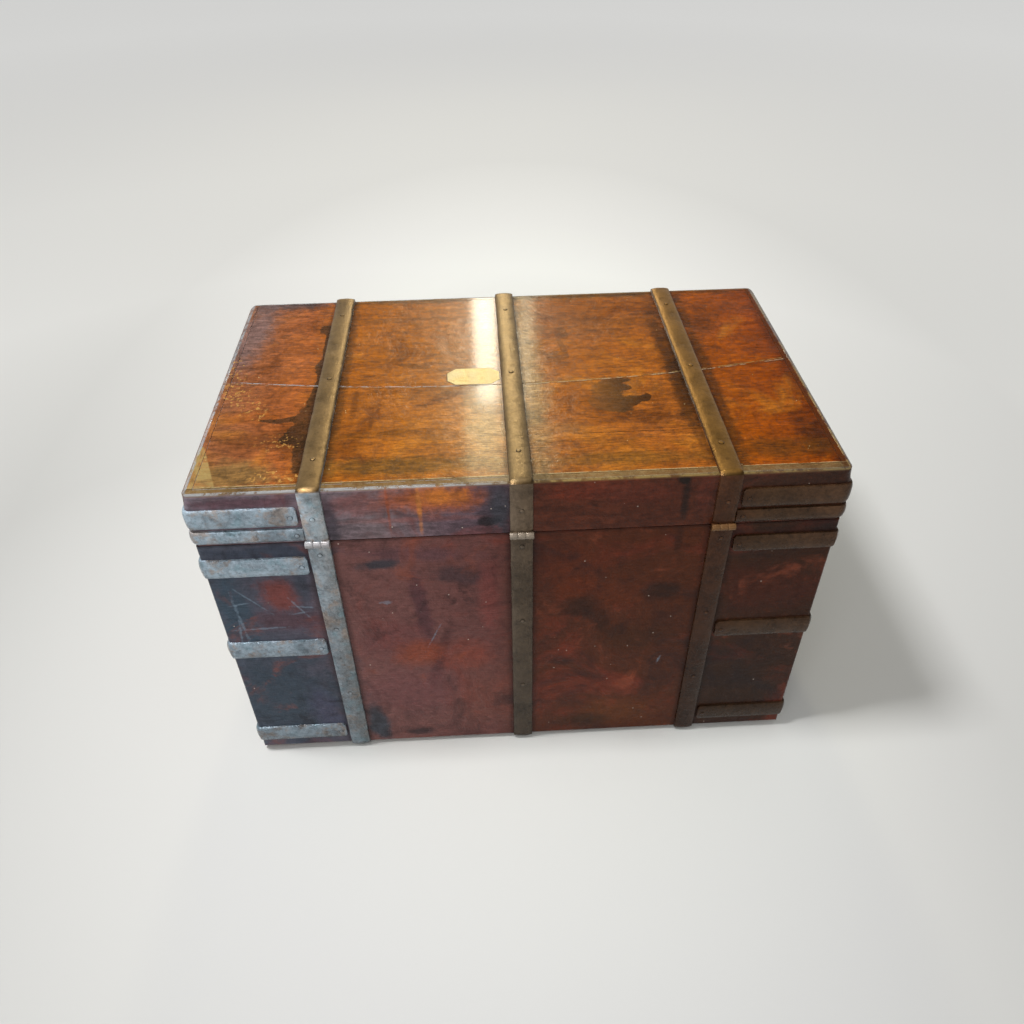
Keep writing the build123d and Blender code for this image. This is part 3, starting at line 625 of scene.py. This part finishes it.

# The lid boards
# Four mitred rails round two top boards that are let in flush, all of figured mahogany, French
# polished. Ink, water and wear have marked the top, and the polish is rubbed through at its edges.
# The pale line along the rounded top edges is a painted highlight.

lid_inner_x, lid_inner_y = 430 * mm, 250 * mm
plaque_x, plaque_half_width, plaque_half_depth = 59 * mm, 40.5 * mm, 23 * mm
clip_x, clip_y, clip_reach = 0.678, 0.735, 35.56 * mm
joint_middle, joint_slope, joint_bow = 27.5 * mm, 0.01444, 0.205
lid_back_marks = [
    ((200, 545), (60, 18), 0, "84504c", 0.6, 0.6), ((120, 550), (60, 22), 0, "aa5a2e", 0.8, 0.6),
    ((108, 554), (30, 14), 0, "cc7830", 0.85, 0.6), ((138, 540), (3, 40), 0, "c47a3c", 0.8, 0.6),
    ((180, 536), (2, 34), 0, "9c5034", 0.7, 0.6), ((150, 515), (90, 5), 0, "84504a", 0.5, 0.6),
    ((46, 506), (14, 10), 10, "211a1e", 0.9, 0.35),
    ((30, 530), (14, 34), 0, "3f4048", 0.8, 0.5), ((260, 520), (10, 40), 0, "35343e", 0.7, 0.5),
    ((370, 556), (60, 8), 0, "66404a", 0.6, 0.5), ((-80, 552), (50, 14), 0, "6a2c1a", 0.7, 0.5),
    ((-160, 545), (50, 16), 0, "5e2a1c", 0.6, 0.5), ((-224, 534), (5, 36), 0, "1f1410", 0.8, 0.7),
    ((-219, 566), (8, 7), 0, "17100c", 0.9, 0.4), ((-250, 540), (10, 30), 0, "5a2a1e", 0.6, 0.5),
]
top_tones = [
    (-0.45, "8a3c04"), (-0.3, "9c4e08"), (-0.26, "a0591a"), (-0.02, "98581e"), (0.05, "a06220"),
    (0.28, "a05a18"), (0.33, "9c5628"), (0.45, "8e5a3a"),
]
# Tones along the back of the lid: blue-grey at the right end is painted cool light, dark brown at
# the left end painted shade.
side_tones_with_painted_light = [
    (-0.45, "3a2014"), (-0.3, "3e2215"), (-0.26, "4c2415"), (-0.02, "542818"), (0.03, "463b44"),
    (0.1, "645058"), (0.2, "7a6a6e"), (0.3, "6c5e66"), (0.45, "685e66"),
]
ink_stain = [
    ((306, -165), (11, 15), 0), ((298, -115), (5, 50), 0), ((301, -45), (9, 18), 0),
    ((297, 10), (6, 60), 0), ((300, 45), (9, 22), 0), ((306, 90), (14, 26), 0),
    ((328, 100), (24, 6), 12), ((362, 101), (16, 3), -6), ((312, 128), (16, 12), 0),
    ((304, 160), (11, 30), -6), ((326, 150), (12, 12), 20), ((302, 205), (9, 26), 0),
]
fish_stain = [
    ((-146, 96), (34, 15), -14), ((-142, 56), (26, 26), 10), ((-180, 82), (17, 10), 20),
    ((-199, 74), (9, 10), 0), ((-164, 28), (20, 6), 6), ((-172, 46), (9, 6), -20),
]
small_stains = [
    ((-93, -123), (8, 20), 8), ((-74, -50), (15, 18), 10), ((-88, -80), (5, 26), 12),
    ((158, -38), (24, 6), -16), ((135, -34), (8, 5), 20), ((372, -145), (8, 9), 0),
]
top_marks_and_reflections = [
    ((262, 0), (9, 300), 0, "5a3816", 0.75, 0.6), ((-257, -60), (17, 130), 2, "4c2c10", 0.85, 0.5),
    ((-258, 60), (14, 90), -3, "46290f", 0.85, 0.5), ((-258, 180), (8, 70), 0, "5a3410", 0.6, 0.5),
    ((-306, 0), (9, 300), 0, "56300e", 0.8, 0.5), ((-420, 190), (26, 50), 0, "4a2408", 0.85, 0.6),
    ((-436, 0), (12, 260), 0, "5c2806", 0.7, 0.6), ((-370, 214), (70, 22), 0, "6a4014", 0.6, 0.6),
    ((-150, -262), (150, 16), 0, "5e4420", 0.8, 0.5),
    ((130, -264), (140, 14), 0, "6a5028", 0.7, 0.5),
    ((380, -262), (70, 18), 0, "4c4444", 0.8, 0.5), ((-370, -262), (70, 14), 0, "6a3c10", 0.7, 0.5),
    ((200, 146), (120, 9), 3, "7a4814", 0.6, 0.6), ((160, 222), (120, 18), 0, "70501f", 0.7, 0.6),
    # Painted reflections: the pale beige patch at (42, 150) and the long pale band at x = -28 stand
    # for the window's glare in the polish near the middle strap.
    ((-150, 225), (110, 14), 0, "7c521e", 0.7, 0.6), ((42, 150), (26, 90), 0, "b89c66", 0.55, 0.9),
    ((-28, 0), (20, 300), 0, "a08a5c", 0.65, 1), ((-60, 150), (36, 14), 0, "a06c34", 0.5, 0.6),
    ((200, 36), (120, 7), 2, "784414", 0.6, 0.6), ((180, -190), (100, 8), 2, "7a4a1c", 0.6, 0.6),
    ((425, -160), (26, 110), -6, "74605e", 0.75, 0.6),
    ((395, 230), (60, 30), 0, "7c6238", 0.8, 0.5),
    ((370, 150), (60, 20), 0, "6a3c1c", 0.7, 0.6), ((380, 90), (50, 16), 0, "94501c", 0.6, 0.6),
    ((345, -60), (22, 90), 0, "a8602c", 0.6, 0.6), ((-150, -150), (80, 30), 0, "87501c", 0.5, 0.6),
    ((238, 70), (5, 40), 0, "6c3c12", 0.6, 0.5), ((210, 110), (4, 30), 0, "6c3c12", 0.6, 0.5),
]


def lid_wood(name, along):
    """Polished mahogany, its grain along X or Y, dark on the sides and bare underneath."""
    finish = Finish(name)
    grain_scale = [760, 760, 760]
    grain_scale["XYZ".index(along)] = 60
    figure_scale = [85, 85, 85]
    figure_scale["XYZ".index(along)] = 20
    grain = finish.noise(1, 4, finish.stretched(grain_scale), 0.7, 0.2)
    figure = finish.noise(1, 9, finish.stretched(figure_scale), 0.68, 0.7)
    clouds = finish.noise(8, 8, rough=0.66, warp=0.8)
    mottle = finish.noise(120, 5, rough=0.7)
    torn = finish.noise(34, 10, rough=0.78)
    ragged = (torn - 0.5) * 0.87
    along_lid = finish.along_case(clouds, 0.06)
    warm = finish.tones(along_lid, top_tones)
    warm = finish.tinged(warm, clouds, 0.5, 0.66, 0.5, "b87424")
    warm = finish.tinged(warm, clouds, 0.48, 0.32, 0.75, "643410")
    warm = finish.marked(warm, top_marks_and_reflections, ragged)
    warm = finish.shaded(warm, figure, 0.32, 0.7, 1.22, 0.7)
    warm = finish.shaded(warm, mottle, 0.35, 0.7, 1.15, 0.62)
    ink = finish.mix(clouds, paint("1e140e"), paint("46351e"))
    blot = finish.stain(ink_stain, (torn - 0.5) * 1.9)
    warm = finish.mix(blot * finish.between(mottle, 0.36, 0.56, 0.95, 0.7), warm, ink)
    pale_ink = finish.mix(finish.between(finish.x, -0.2, -0.12), paint("32200f"), paint("5e4426"))
    eye = finish.patch((-190, 66), (9, 5), 30, ragged, 0.3)
    fish = finish.stain(fish_stain, (torn - 0.5) * 1.3) * (1 - eye)
    fish = fish * finish.between(finish.x + (mottle - 0.5) * 0.04, -0.165, -0.105, 1, 0.45)
    warm = finish.mix(fish * 0.85, warm, pale_ink)
    warm = finish.mix(finish.stain(small_stains, (torn - 0.5) * 1.8) * 0.42, warm, paint("4a2e10"))
    warm = finish.shaded(warm, grain, 0.4, 0.68, 1.12, 0.5)
    # Painted shade: the wood is darkened beside each strap.
    strap_shade = finish.from_strap() + (torn - 0.5) * 0.012
    warm = finish.shaded(warm, strap_shade, 0.0165, 0.024, 0.5, 1)
    fleck = finish.between(finish.noise(190, 3, rough=0.6), 0.56, 0.63)
    gilt = finish.patch((432, -20), (16, 60), 6, ragged)
    gilt = gilt + finish.patch((402, 50), (20, 60), 35, ragged)
    gilt = gilt + finish.patch((338, 155), (34, 26), 0, ragged) * 0.6
    gilt = (gilt + finish.patch((335, 234), (34, 14), 0, ragged)) * fleck
    warm = finish.mix(finish.between(gilt, 0.1, 0.8) * 0.75, warm, paint("bc8c48"))
    rubbed = finish.between(finish.x + (finish.y - 0.16) * 0.36, 0.439, 0.4415)
    rubbed = rubbed * finish.between(finish.y, 0.158, 0.162)
    rubbed = rubbed * finish.between(finish.y, 0.2515, 0.25)
    rubbed = rubbed * finish.between(finish.x, 0.449, 0.447)
    rubbed = rubbed * finish.between(figure, 0.38, 0.58, 0.15, 0.75)
    warm = finish.mix(rubbed, warm, paint("a8905a"))
    crack = finish.between(abs(finish.y - 0.162 + (figure - 0.5) * 0.008), 0.0003, 0.0011, 1, 0)
    crack = crack * finish.between(abs(finish.x + 0.172), 0.08, 0.095, 1, 0)
    warm = finish.mix(crack * 0.85, warm, paint("3a1e0a"))
    joint = finish.y - joint_middle - joint_slope * finish.x + joint_bow * finish.x * finish.x
    # Painted shadow: a dark line just below the joint of the top boards.
    shadow_below_joint = finish.between(joint, 0, 0.0008) * finish.between(joint, 0.0035, 0.0015)
    warm = finish.scaled(warm, 1 - shadow_below_joint * 0.5)
    filler = finish.between(abs(joint + (mottle - 0.5) * 0.002), 0.0003, 0.0014, 1, 0)
    filler = filler * finish.between(finish.noise(60, 6, rough=0.75), 0.42, 0.56)
    warm = finish.mix(filler * finish.between(finish.x, 0.05, 0.3, 0.8, 0.3), warm, paint("c0a888"))
    scratch = finish.noise(1, 4, finish.stretched((330, 40, 200)), 0.6, 2.2)
    scratch = finish.between(scratch, 0.66, 0.7) * finish.patch((52, 150), (44, 80), 0, ragged)
    warm = finish.mix(scratch * 0.6, warm, paint("e0cc9c"))
    warm = finish.mix(finish.specks(60, 0.5) * 0.85, warm, paint("e0c890"))
    clipped = abs(finish.x - plaque_x) * clip_x + abs(finish.y) * clip_y - clip_reach
    from_plaque = clipped.larger(abs(finish.x - plaque_x) - plaque_half_width)
    from_plaque = from_plaque.larger(abs(finish.y) - plaque_half_depth)
    warm = finish.tinged(warm, from_plaque, 0.0022, 0.0008, 0.75, "3a240e")
    near = finish.between(finish.y + (mottle - 0.5) * 0.001, 0.2512, 0.2518)
    worn = finish.ramp(mottle * 0.5 + clouds * 0.5, (0.36, "4a3d26"), (0.5, "6e5c3c"),
                       (0.64, "8c7852"))
    warm = finish.mix(near * 0.8, warm, worn)
    lines = finish.between(abs(finish.y - 0.2515), 0.0003, 0.0008, 1, 0)
    warm = finish.mix(lines * finish.between(torn, 0.42, 0.54, 0, 0.7), warm, paint("cdb888"))
    warm = finish.shaded(warm, abs(finish.y - 0.2535), 0.0004, 0.0012, 0.75, 1)
    far_end = finish.between(finish.x + (mottle - 0.5) * 0.004, -0.4345, -0.4365)
    warm = finish.mix(far_end * 0.6, warm, paint("4a260c"))
    side_tone_with_painted_light = finish.tones(along_lid, side_tones_with_painted_light)
    on_back = finish.between(finish.facing_y, 0.4, 0.7)
    deep = finish.mix(on_back, paint("5a3026"), side_tone_with_painted_light)
    deep = finish.tinged(deep, clouds, 0.5, 0.66, 0.45, "78301f")
    deep = finish.marked(deep, lid_back_marks, ragged, 1, on_back)
    deep = finish.shaded(deep, figure, 0.32, 0.68, 1.3, 0.66)
    deep = finish.shaded(deep, mottle, 0.35, 0.7, 1.15, 0.7)
    deep = finish.mix(finish.specks(45, 0.6, 1) * 0.85, deep, paint("d2c2b4"))
    bare = finish.ramp(figure * 0.5 + grain * 0.5, (0.36, "5e3c22"), (0.5, "86603a"),
                       (0.62, "a0784c"))
    on_top = finish.between(finish.facing_z, 0.3, 0.8) * finish.between(finish.z, 0.5655, 0.5685)
    colour = finish.mix(on_top, deep, warm)
    # Painted highlight: the rounded top edge is lightened, blue-grey towards the right end and tan
    # towards the left.
    arris_highlight = finish.between(finish.facing_z, 0.5, 0.65) * finish.between(finish.facing_z, 0.97, 0.88)
    arris_highlight = arris_highlight * finish.between(finish.z, 0.565, 0.567) * finish.between(torn, 0.44, 0.52)
    arris_highlight_tone = finish.mix(finish.between(finish.x, -0.05, 0.1), paint("a89058"), paint("a8b2b8"))
    colour = finish.mix(arris_highlight * 0.6, colour, arris_highlight_tone)
    side = finish.past(abs(finish.x), lid_inner_x) + finish.past(abs(finish.y), lid_inner_y)
    inside = finish.between(side + on_top, 0, 1, 1, 0)
    finish.set(Base_Color=finish.mix(inside, colour, bare), Specular_IOR_Level=0.16)
    polish = finish.between(mottle, 0.3, 0.7, 0.16, 0.34)
    finish.set(Roughness=polish * (1 - inside) + 0.6 * inside)
    finish.set(Coat_Weight=on_top * 0.4, Coat_Roughness=0.09)
    waves = finish.relief(clouds, 0.0025)
    finish.set(Normal=finish.relief(figure * 0.6 + mottle * 0.4, 0.0004, waves))
    return finish


lid_wood_level = lid_wood("lid_wood_grain_level", "X")
lid_wood_end = lid_wood("lid_wood_grain_end", "Y")
dress(lid_wood_level, "lid_front_rail", "lid_back_rail", "lid_top_board_front",
      "lid_top_board_back")
dress(lid_wood_end, "lid_end_rail_left", "lid_end_rail_right")
cut_round, back_round, front_round = 8 * mm, 17 * mm, 22 * mm
worn_from, worn_over, wear_ease = 548 * mm, 18 * mm, 0.7
slices, slice_step = 5, 4 * mm
merge_reach, corner_slack, corner_core = 0.001 * mm, 0.01 * mm, 0.1 * mm
flat_cosine = 0.9999
for name, finish in (("lid_front_rail", lid_wood_level), ("lid_back_rail", lid_wood_level),
                     ("lid_end_rail_left", lid_wood_end), ("lid_end_rail_right", lid_wood_end)):
    rail = bmesh.new()
    rail.from_mesh(nodes[name].data)
    bmesh.ops.remove_doubles(rail, verts=rail.verts, dist=merge_reach)
    for step in range(slices):
        bmesh.ops.bisect_plane(rail, geom=rail.verts[:] + rail.edges[:] + rail.faces[:],
                               plane_co=(0, 0, worn_from + step * slice_step), plane_no=(0, 0, 1))
    for vert in rail.verts:
        along = cut_round - (case_width / 2 - abs(vert.co.x))
        across = cut_round - (case_depth / 2 - abs(vert.co.y))
        worn_round = front_round if vert.co.y < 0 else back_round
        worn = min(1, max(0, vert.co.z - worn_from) / worn_over) ** wear_ease
        wear = worn * (worn_round - cut_round)
        reach = math.hypot(along, across)
        if min(along, across) > -corner_slack and reach > corner_core:
            vert.co.x -= math.copysign(wear * (1 - along / reach), vert.co.x)
            vert.co.y -= math.copysign(wear * (1 - across / reach), vert.co.y)
    worn_rail = piece(rail, f"worn_{name}", finish, "lid", "lid_wood", name)
    for face in worn_rail.data.polygons:
        face.use_smooth = max(map(abs, face.normal)) < flat_cosine

# The plaque
# A small plate of pale brass with clipped corners, let in flush beside the middle strap and left
# bare.


def brass(name, *tones):
    """Old brass, rubbed along its length and dulled in patches."""
    finish = Finish(name)
    tarnish = finish.noise(40, 5, rough=0.6)
    scratches = finish.noise(1, 3, finish.stretched((900, 120, 300)))
    finish.set(Base_Color=finish.ramp(tarnish, *zip((0.3, 0.5, 0.65), tones)), Metallic=0.75)
    finish.set(Roughness=finish.between(tarnish, 0.3, 0.7, 0.28, 0.42))
    finish.set(Normal=finish.relief(scratches, 0.0002, finish.relief(tarnish, 0.001)))
    return finish


dress(brass("pale_brass", "a8925e", "c2b084", "d6c8a0"), "plaque")

# The lid straps
# They match the box straps and go on up the back, over the top and down the front of the lid. Each
# is rolled into the middle loop of its hinge.

lid_strap_seed = 20
for number, (side, x) in enumerate(strap_places.items()):
    corners = [Vector((front, parting + rim_gap / 2)), Vector((front, lid_top)),
               Vector((back, lid_top)), Vector((back, parting + loop_room))]
    bar = half_oval_bar(run_length(corners, lid_bend), strap_width, strap_thick, strap_edge, 0,
                        lid_strap_seed + number)
    bent(bar, corners, lid_bend, lambda point, across: (x + across, point.x, point.y))
    piece(joined([bar, rolled_loop(x, 1)]), f"forged_lid_strap_{side}", iron, "lid", "strap_iron",
          f"lid_strap_{side}")

# The end bands of the lid
# A band like those of the box and, below it, a narrower lip band whose square ends butt against
# the strap.

lid_corner_bend, lid_band_seed = 7.7 * mm, 30
lid_bands = {"lid_band": (514.5, 32, 302, 5), "lip_band": (487.5, 22, 298.3, 0)}
lid_nail_places = []
for number, (kind, (low, height, start, clip)) in enumerate(lid_bands.items()):
    for side in ("left", "right"):
        band = end_band(side, low * mm, height * mm, start * mm, lid_corner_bend, clip * mm,
                        lid_band_seed + number)
        piece(band, f"forged_{kind}_{side}", iron, "lid", "strap_iron", f"{kind}_{side}")
        lid_nail_places += band_nails(side, low * mm, height * mm, start * mm, band_thick)

# The nails of the lid
# The same nails: three along the top of each strap, one in its back and one in its front, and four
# in each band.

strap_top_shares = (0.12, 0.5, 0.88)
for x in strap_places.values():
    for share in strap_top_shares:
        lid_nail_places.append(((x, back - share * case_depth, lid_top + strap_thick), (0, 0, 1)))
    level = (parting + lid_top + rim_gap / 2) / 2
    lid_nail_places.append(((x, back + strap_thick, level), (0, 1, 0)))
    lid_nail_places.append(((x, front - strap_thick, level), (0, -1, 0)))
piece(joined([nail_head(*place) for place in lid_nail_places]), "round_lid_nails", nail_iron, "lid",
      "strap_iron", "lid_nails")

# The hinge pins
# Iron pins, filed flush with the outer loops.

dress(iron, "hinge_pins")

# The handles
# A forged drop handle on each end: a plate with two ears, nailed to the end board, and a bail of
# round bar that swells where the hand holds it and is upset at its ends.

handle_iron = Finish("handle_iron")
scale_marks = handle_iron.noise(120, 5, rough=0.65)
rust = handle_iron.noise(22, 5, rough=0.6)
handle_colour = handle_iron.ramp(rust, (0.34, "3a3530"), (0.5, "544c44"), (0.66, "6e6458"))
handle_colour = handle_iron.mix(handle_iron.between(scale_marks, 0.55, 0.7, 0, 0.6), handle_colour,
                                paint("241d19"))
handle_iron.set(Base_Color=handle_colour, Metallic=0.6)
handle_iron.set(Roughness=handle_iron.between(scale_marks, 0.3, 0.7, 0.34, 0.56))
handle_iron.set(Normal=handle_iron.relief(scale_marks, 0.0008, handle_iron.relief(rust, 0.002)))
handle_x, handle_z = 462.5 * mm, 397.5 * mm
bail_reach, bail_drop, bail_end = 56 * mm, 64 * mm, 79 * mm
bail_radius, grip_radius, grip_reach = 4.8 * mm, 6.8 * mm, 42 * mm
pivot_bend, grip_bend = 8 * mm, 16 * mm
bail_sides, bend_steps, grip_zone = 20, 10, 8 * mm
knob_radius, knob_length, knob_out = 6.2 * mm, 2.6 * mm, 1 * mm


def bail(way):
    """The bail, bent from round bar: in from one ear, down, along the grip, up and out again."""
    rod = bmesh.new()
    x = way * handle_x
    start = Matrix.Translation((x, -bail_end, handle_z)) @ Matrix.Rotation(math.radians(90), 4, "X")
    bmesh.ops.create_circle(rod, cap_ends=True, segments=bail_sides, radius=bail_radius,
                            matrix=start)
    last = rod.faces[:]
    low = handle_z - bail_drop
    tail, side = bail_end - bail_reach - pivot_bend, bail_drop - pivot_bend - grip_bend
    moves = [
        ((0, tail, 0), 4), ((-bail_reach - pivot_bend, -1), pivot_bend, -90),
        ((0, 0, -side), 8), ((-bail_reach + grip_bend, 1), grip_bend, 90),
        ((0, 2 * (bail_reach - grip_bend), 0), 24), ((bail_reach - grip_bend, 1), grip_bend, 90),
        ((0, 0, side), 8), ((bail_reach + pivot_bend, -1), pivot_bend, -90),
        ((0, tail, 0), 4),
    ]
    for move in moves:
        if len(move) == 2:
            vector, steps = move
            dvec = Vector(vector) / steps
            spun = bmesh.ops.spin(rod, geom=last, cent=(0, 0, 0), axis=(1, 0, 0), angle=0,
                                  dvec=dvec, steps=steps)
        else:
            (y, at), bend, angle = move
            z = handle_z - bend if at < 0 else low + bend
            spun = bmesh.ops.spin(rod, geom=last, cent=(x, y, z), axis=(1, 0, 0),
                                  angle=math.radians(angle), steps=bend_steps)
        last = [f for f in spun["geom_last"] if isinstance(f, bmesh.types.BMFace)]
    fullness = grip_radius / bail_radius - 1
    for vert in rod.verts:
        if vert.co.z < low + grip_zone and abs(vert.co.y) < grip_reach:
            swell = 1 + fullness * math.cos(vert.co.y / grip_reach * math.pi / 2)
            vert.co.x = x + (vert.co.x - x) * swell
            vert.co.z = low + (vert.co.z - low) * swell
    shapes = [rod]
    for y_way in (-1, 1):
        knob = bmesh.new()
        centre = Matrix.Translation((x, y_way * (bail_end + knob_out), handle_z))
        size = Matrix.Diagonal((knob_radius, knob_length, knob_radius, 1))
        bmesh.ops.create_uvsphere(knob, u_segments=dome_segments, v_segments=dome_rings, radius=1,
                                  matrix=centre @ size)
        shapes.append(knob)
    return joined(shapes)


dress(handle_iron, "handle_plate_left", "handle_plate_right", "handle_nails")
for side, way in (("left", -1), ("right", 1)):
    piece(bail(way), f"bail_{side}", handle_iron, f"handle_{side}", "handle_iron", f"handle_{side}")

# The locks
# Two box locks let into the front board, with iron cases, sliding bolts, and link plates with
# staples under the lid. Outside, each has a brass keyhole plate with a swinging cover.

steel = Finish("lock_steel")
steel_marks = steel.noise(140, 5, rough=0.6)
steel_clouds = steel.noise(20, 4)
steel.set(Base_Color=steel.ramp(steel_clouds, (0.35, "55514c"), (0.5, "77736d"), (0.65, "8f8a82")))
steel.set(Metallic=0.8, Roughness=steel.between(steel_marks, 0.3, 0.7, 0.3, 0.5))
steel.set(Normal=steel.relief(steel_marks, 0.0004))
dress(steel, "lock_case_left", "lock_case_right", "lock_bolt_left", "lock_bolt_right",
      "link_plate_left", "link_plate_right")
dress(brass("brass", "a07a42", "c8a25c", "dcc080"), "keyhole_plates", "keyhole_cover_left",
      "keyhole_cover_right")

# The stays
# A slotted flat arm inside each end. It turns on a pivot under the lid and slides along a stud in
# the box, and its slot's end holds the lid open.

dress(steel, "stay_arm_left", "stay_arm_right", "stay_studs", "stay_brackets")

# The studio
# A pale floor, a small lamp high over the right end, a large soft one on the camera's side, and
# across from the camera tall narrow windows of light that the polish of the lid reflects.

floor_reach, window_y = 30, -3.43
sky_greys = ((0.3, 0.8), (0.41, 0.05), (0.73, 0.05), (0.86, 0.55))
floor_finish = Finish("floor")
away = floor_finish.node("ShaderNodeVectorMath", {"operation": "DISTANCE"},
                         {0: floor_finish.place, 1: (0.3, 0.4, 0)}, out="Value")
backdrop = floor_finish.ramp(away * (1 / 6), (0.19, "000000"), (0.34, "858584"), (0.5, "979796"),
                             (1, "b0b0af"))
path = floor_finish.node("ShaderNodeLightPath").socket.node
straight, mirrored, through = [Shade(floor_finish, path.outputs[f"Is {kind} Ray"])
                               for kind in ("Camera", "Glossy", "Transmission")]
seen = straight + mirrored + through
# Painted light: the floor's own colour is lightest in an oval round the trunk and greyer away from
# it, a painted pool of light.
floor_oval = floor_finish.stretched((1, 0.6, 1))
close = floor_finish.node("ShaderNodeVectorMath", {"operation": "DISTANCE"},
                          {0: floor_oval, 1: (-0.1, -0.36, 0)}, out="Value")
pale = floor_finish.ramp(close * 0.5, (0.3, "e9eae6"), (0.42, "dcdcda"), (0.62, "c8c8c6"))
floor_finish.set(Base_Color=pale, Roughness=0.9, Specular_IOR_Level=0)
floor_finish.set(Emission_Color=floor_finish.scaled(backdrop, seen), Emission_Strength=1)
floor_mesh = bpy.data.meshes.new("floor")
floor_shape = bmesh.new()
bmesh.ops.create_grid(floor_shape, x_segments=2, y_segments=2, size=floor_reach)
floor_shape.to_mesh(floor_mesh)
floor_shape.free()
floor_mesh.materials.append(floor_finish.material)
floor = bpy.data.objects.new("floor", floor_mesh)
bpy.context.scene.collection.objects.link(floor)

world = bpy.data.worlds.new("studio")
world.use_nodes = True
sky = world.node_tree
height = sky.nodes.new("ShaderNodeSeparateXYZ")
sky.links.new(sky.nodes.new("ShaderNodeTexCoord").outputs["Generated"], height.inputs[0])
glow = sky.nodes.new("ShaderNodeValToRGB")
sky.links.new(height.outputs["Z"], glow.inputs["Fac"])
while len(glow.color_ramp.elements) < len(sky_greys):
    glow.color_ramp.elements.new(0.5)
for element, (level, grey) in zip(glow.color_ramp.elements, sky_greys):
    element.position = level
    element.color = (grey, grey, grey * 0.99, 1)
sky.links.new(glow.outputs["Color"], sky.nodes["Background"].inputs["Color"])
bpy.context.scene.world = world


def softbox(name, place, target, width, height, power, tint="ffffff"):
    """A rectangular lamp that faces a point."""
    lamp = bpy.data.lights.new(name, "AREA")
    lamp.shape = "RECTANGLE"
    lamp.size = width
    lamp.size_y = height
    lamp.energy = power
    lamp.color = paint(tint)[:3]
    made = bpy.data.objects.new(name, lamp)
    made.location = place
    made.rotation_euler = (Vector(place) - Vector(target)).to_track_quat("Z", "Y").to_euler()
    made.visible_camera = False
    bpy.context.scene.collection.objects.link(made)


lid_middle = (0, 0, lid_top)
softbox("overhead_light", (1.1, 0.3, 3.1), lid_middle, 0.5, 0.5, 68)
softbox("fill_light", (1.2, 3.2, 2.4), lid_middle, 2, 2, 36)
softbox("window_light", (0.008, window_y, 2.4), lid_middle, 0.13, 0.82, 9.2, "fffae2")
for width in (0.14, 0.26):
    softbox("window_top", (0.03, window_y, 3.3), lid_middle, width, 0.95, width * 17, "fff2c8")
for width in (0.24, 0.34, 0.44, 0.54):
    softbox("window_haze", (0.045, window_y, 2.8), lid_middle, width, 0.7, width * 2, "ffe9a8")
softbox("curtain_gap", (-0.244, window_y, 2.45), lid_middle, 0.07, 0.9, 0.9, "fff0cc")

# The camera
# It stands behind the trunk, a little right of its middle and 1.28 m above the floor.

camera_data = bpy.data.cameras.new("camera")
camera_data.lens = 30.123
camera_data.sensor_width = 36
camera = bpy.data.objects.new("camera", camera_data)
heading, dip, roll = math.radians(180 - 2.3), math.radians(90 - 40.857), math.radians(-0.932)
aim = Matrix.Rotation(heading, 3, "Z") @ Matrix.Rotation(dip, 3, "X")
aim = aim @ Matrix.Rotation(roll, 3, "Z")
camera.location = (0.0484, 1.1521, 1.2845)
camera.rotation_euler = aim.to_euler()
bpy.context.scene.collection.objects.link(camera)
bpy.context.scene.camera = camera
bpy.context.scene.view_settings.view_transform = "Standard"
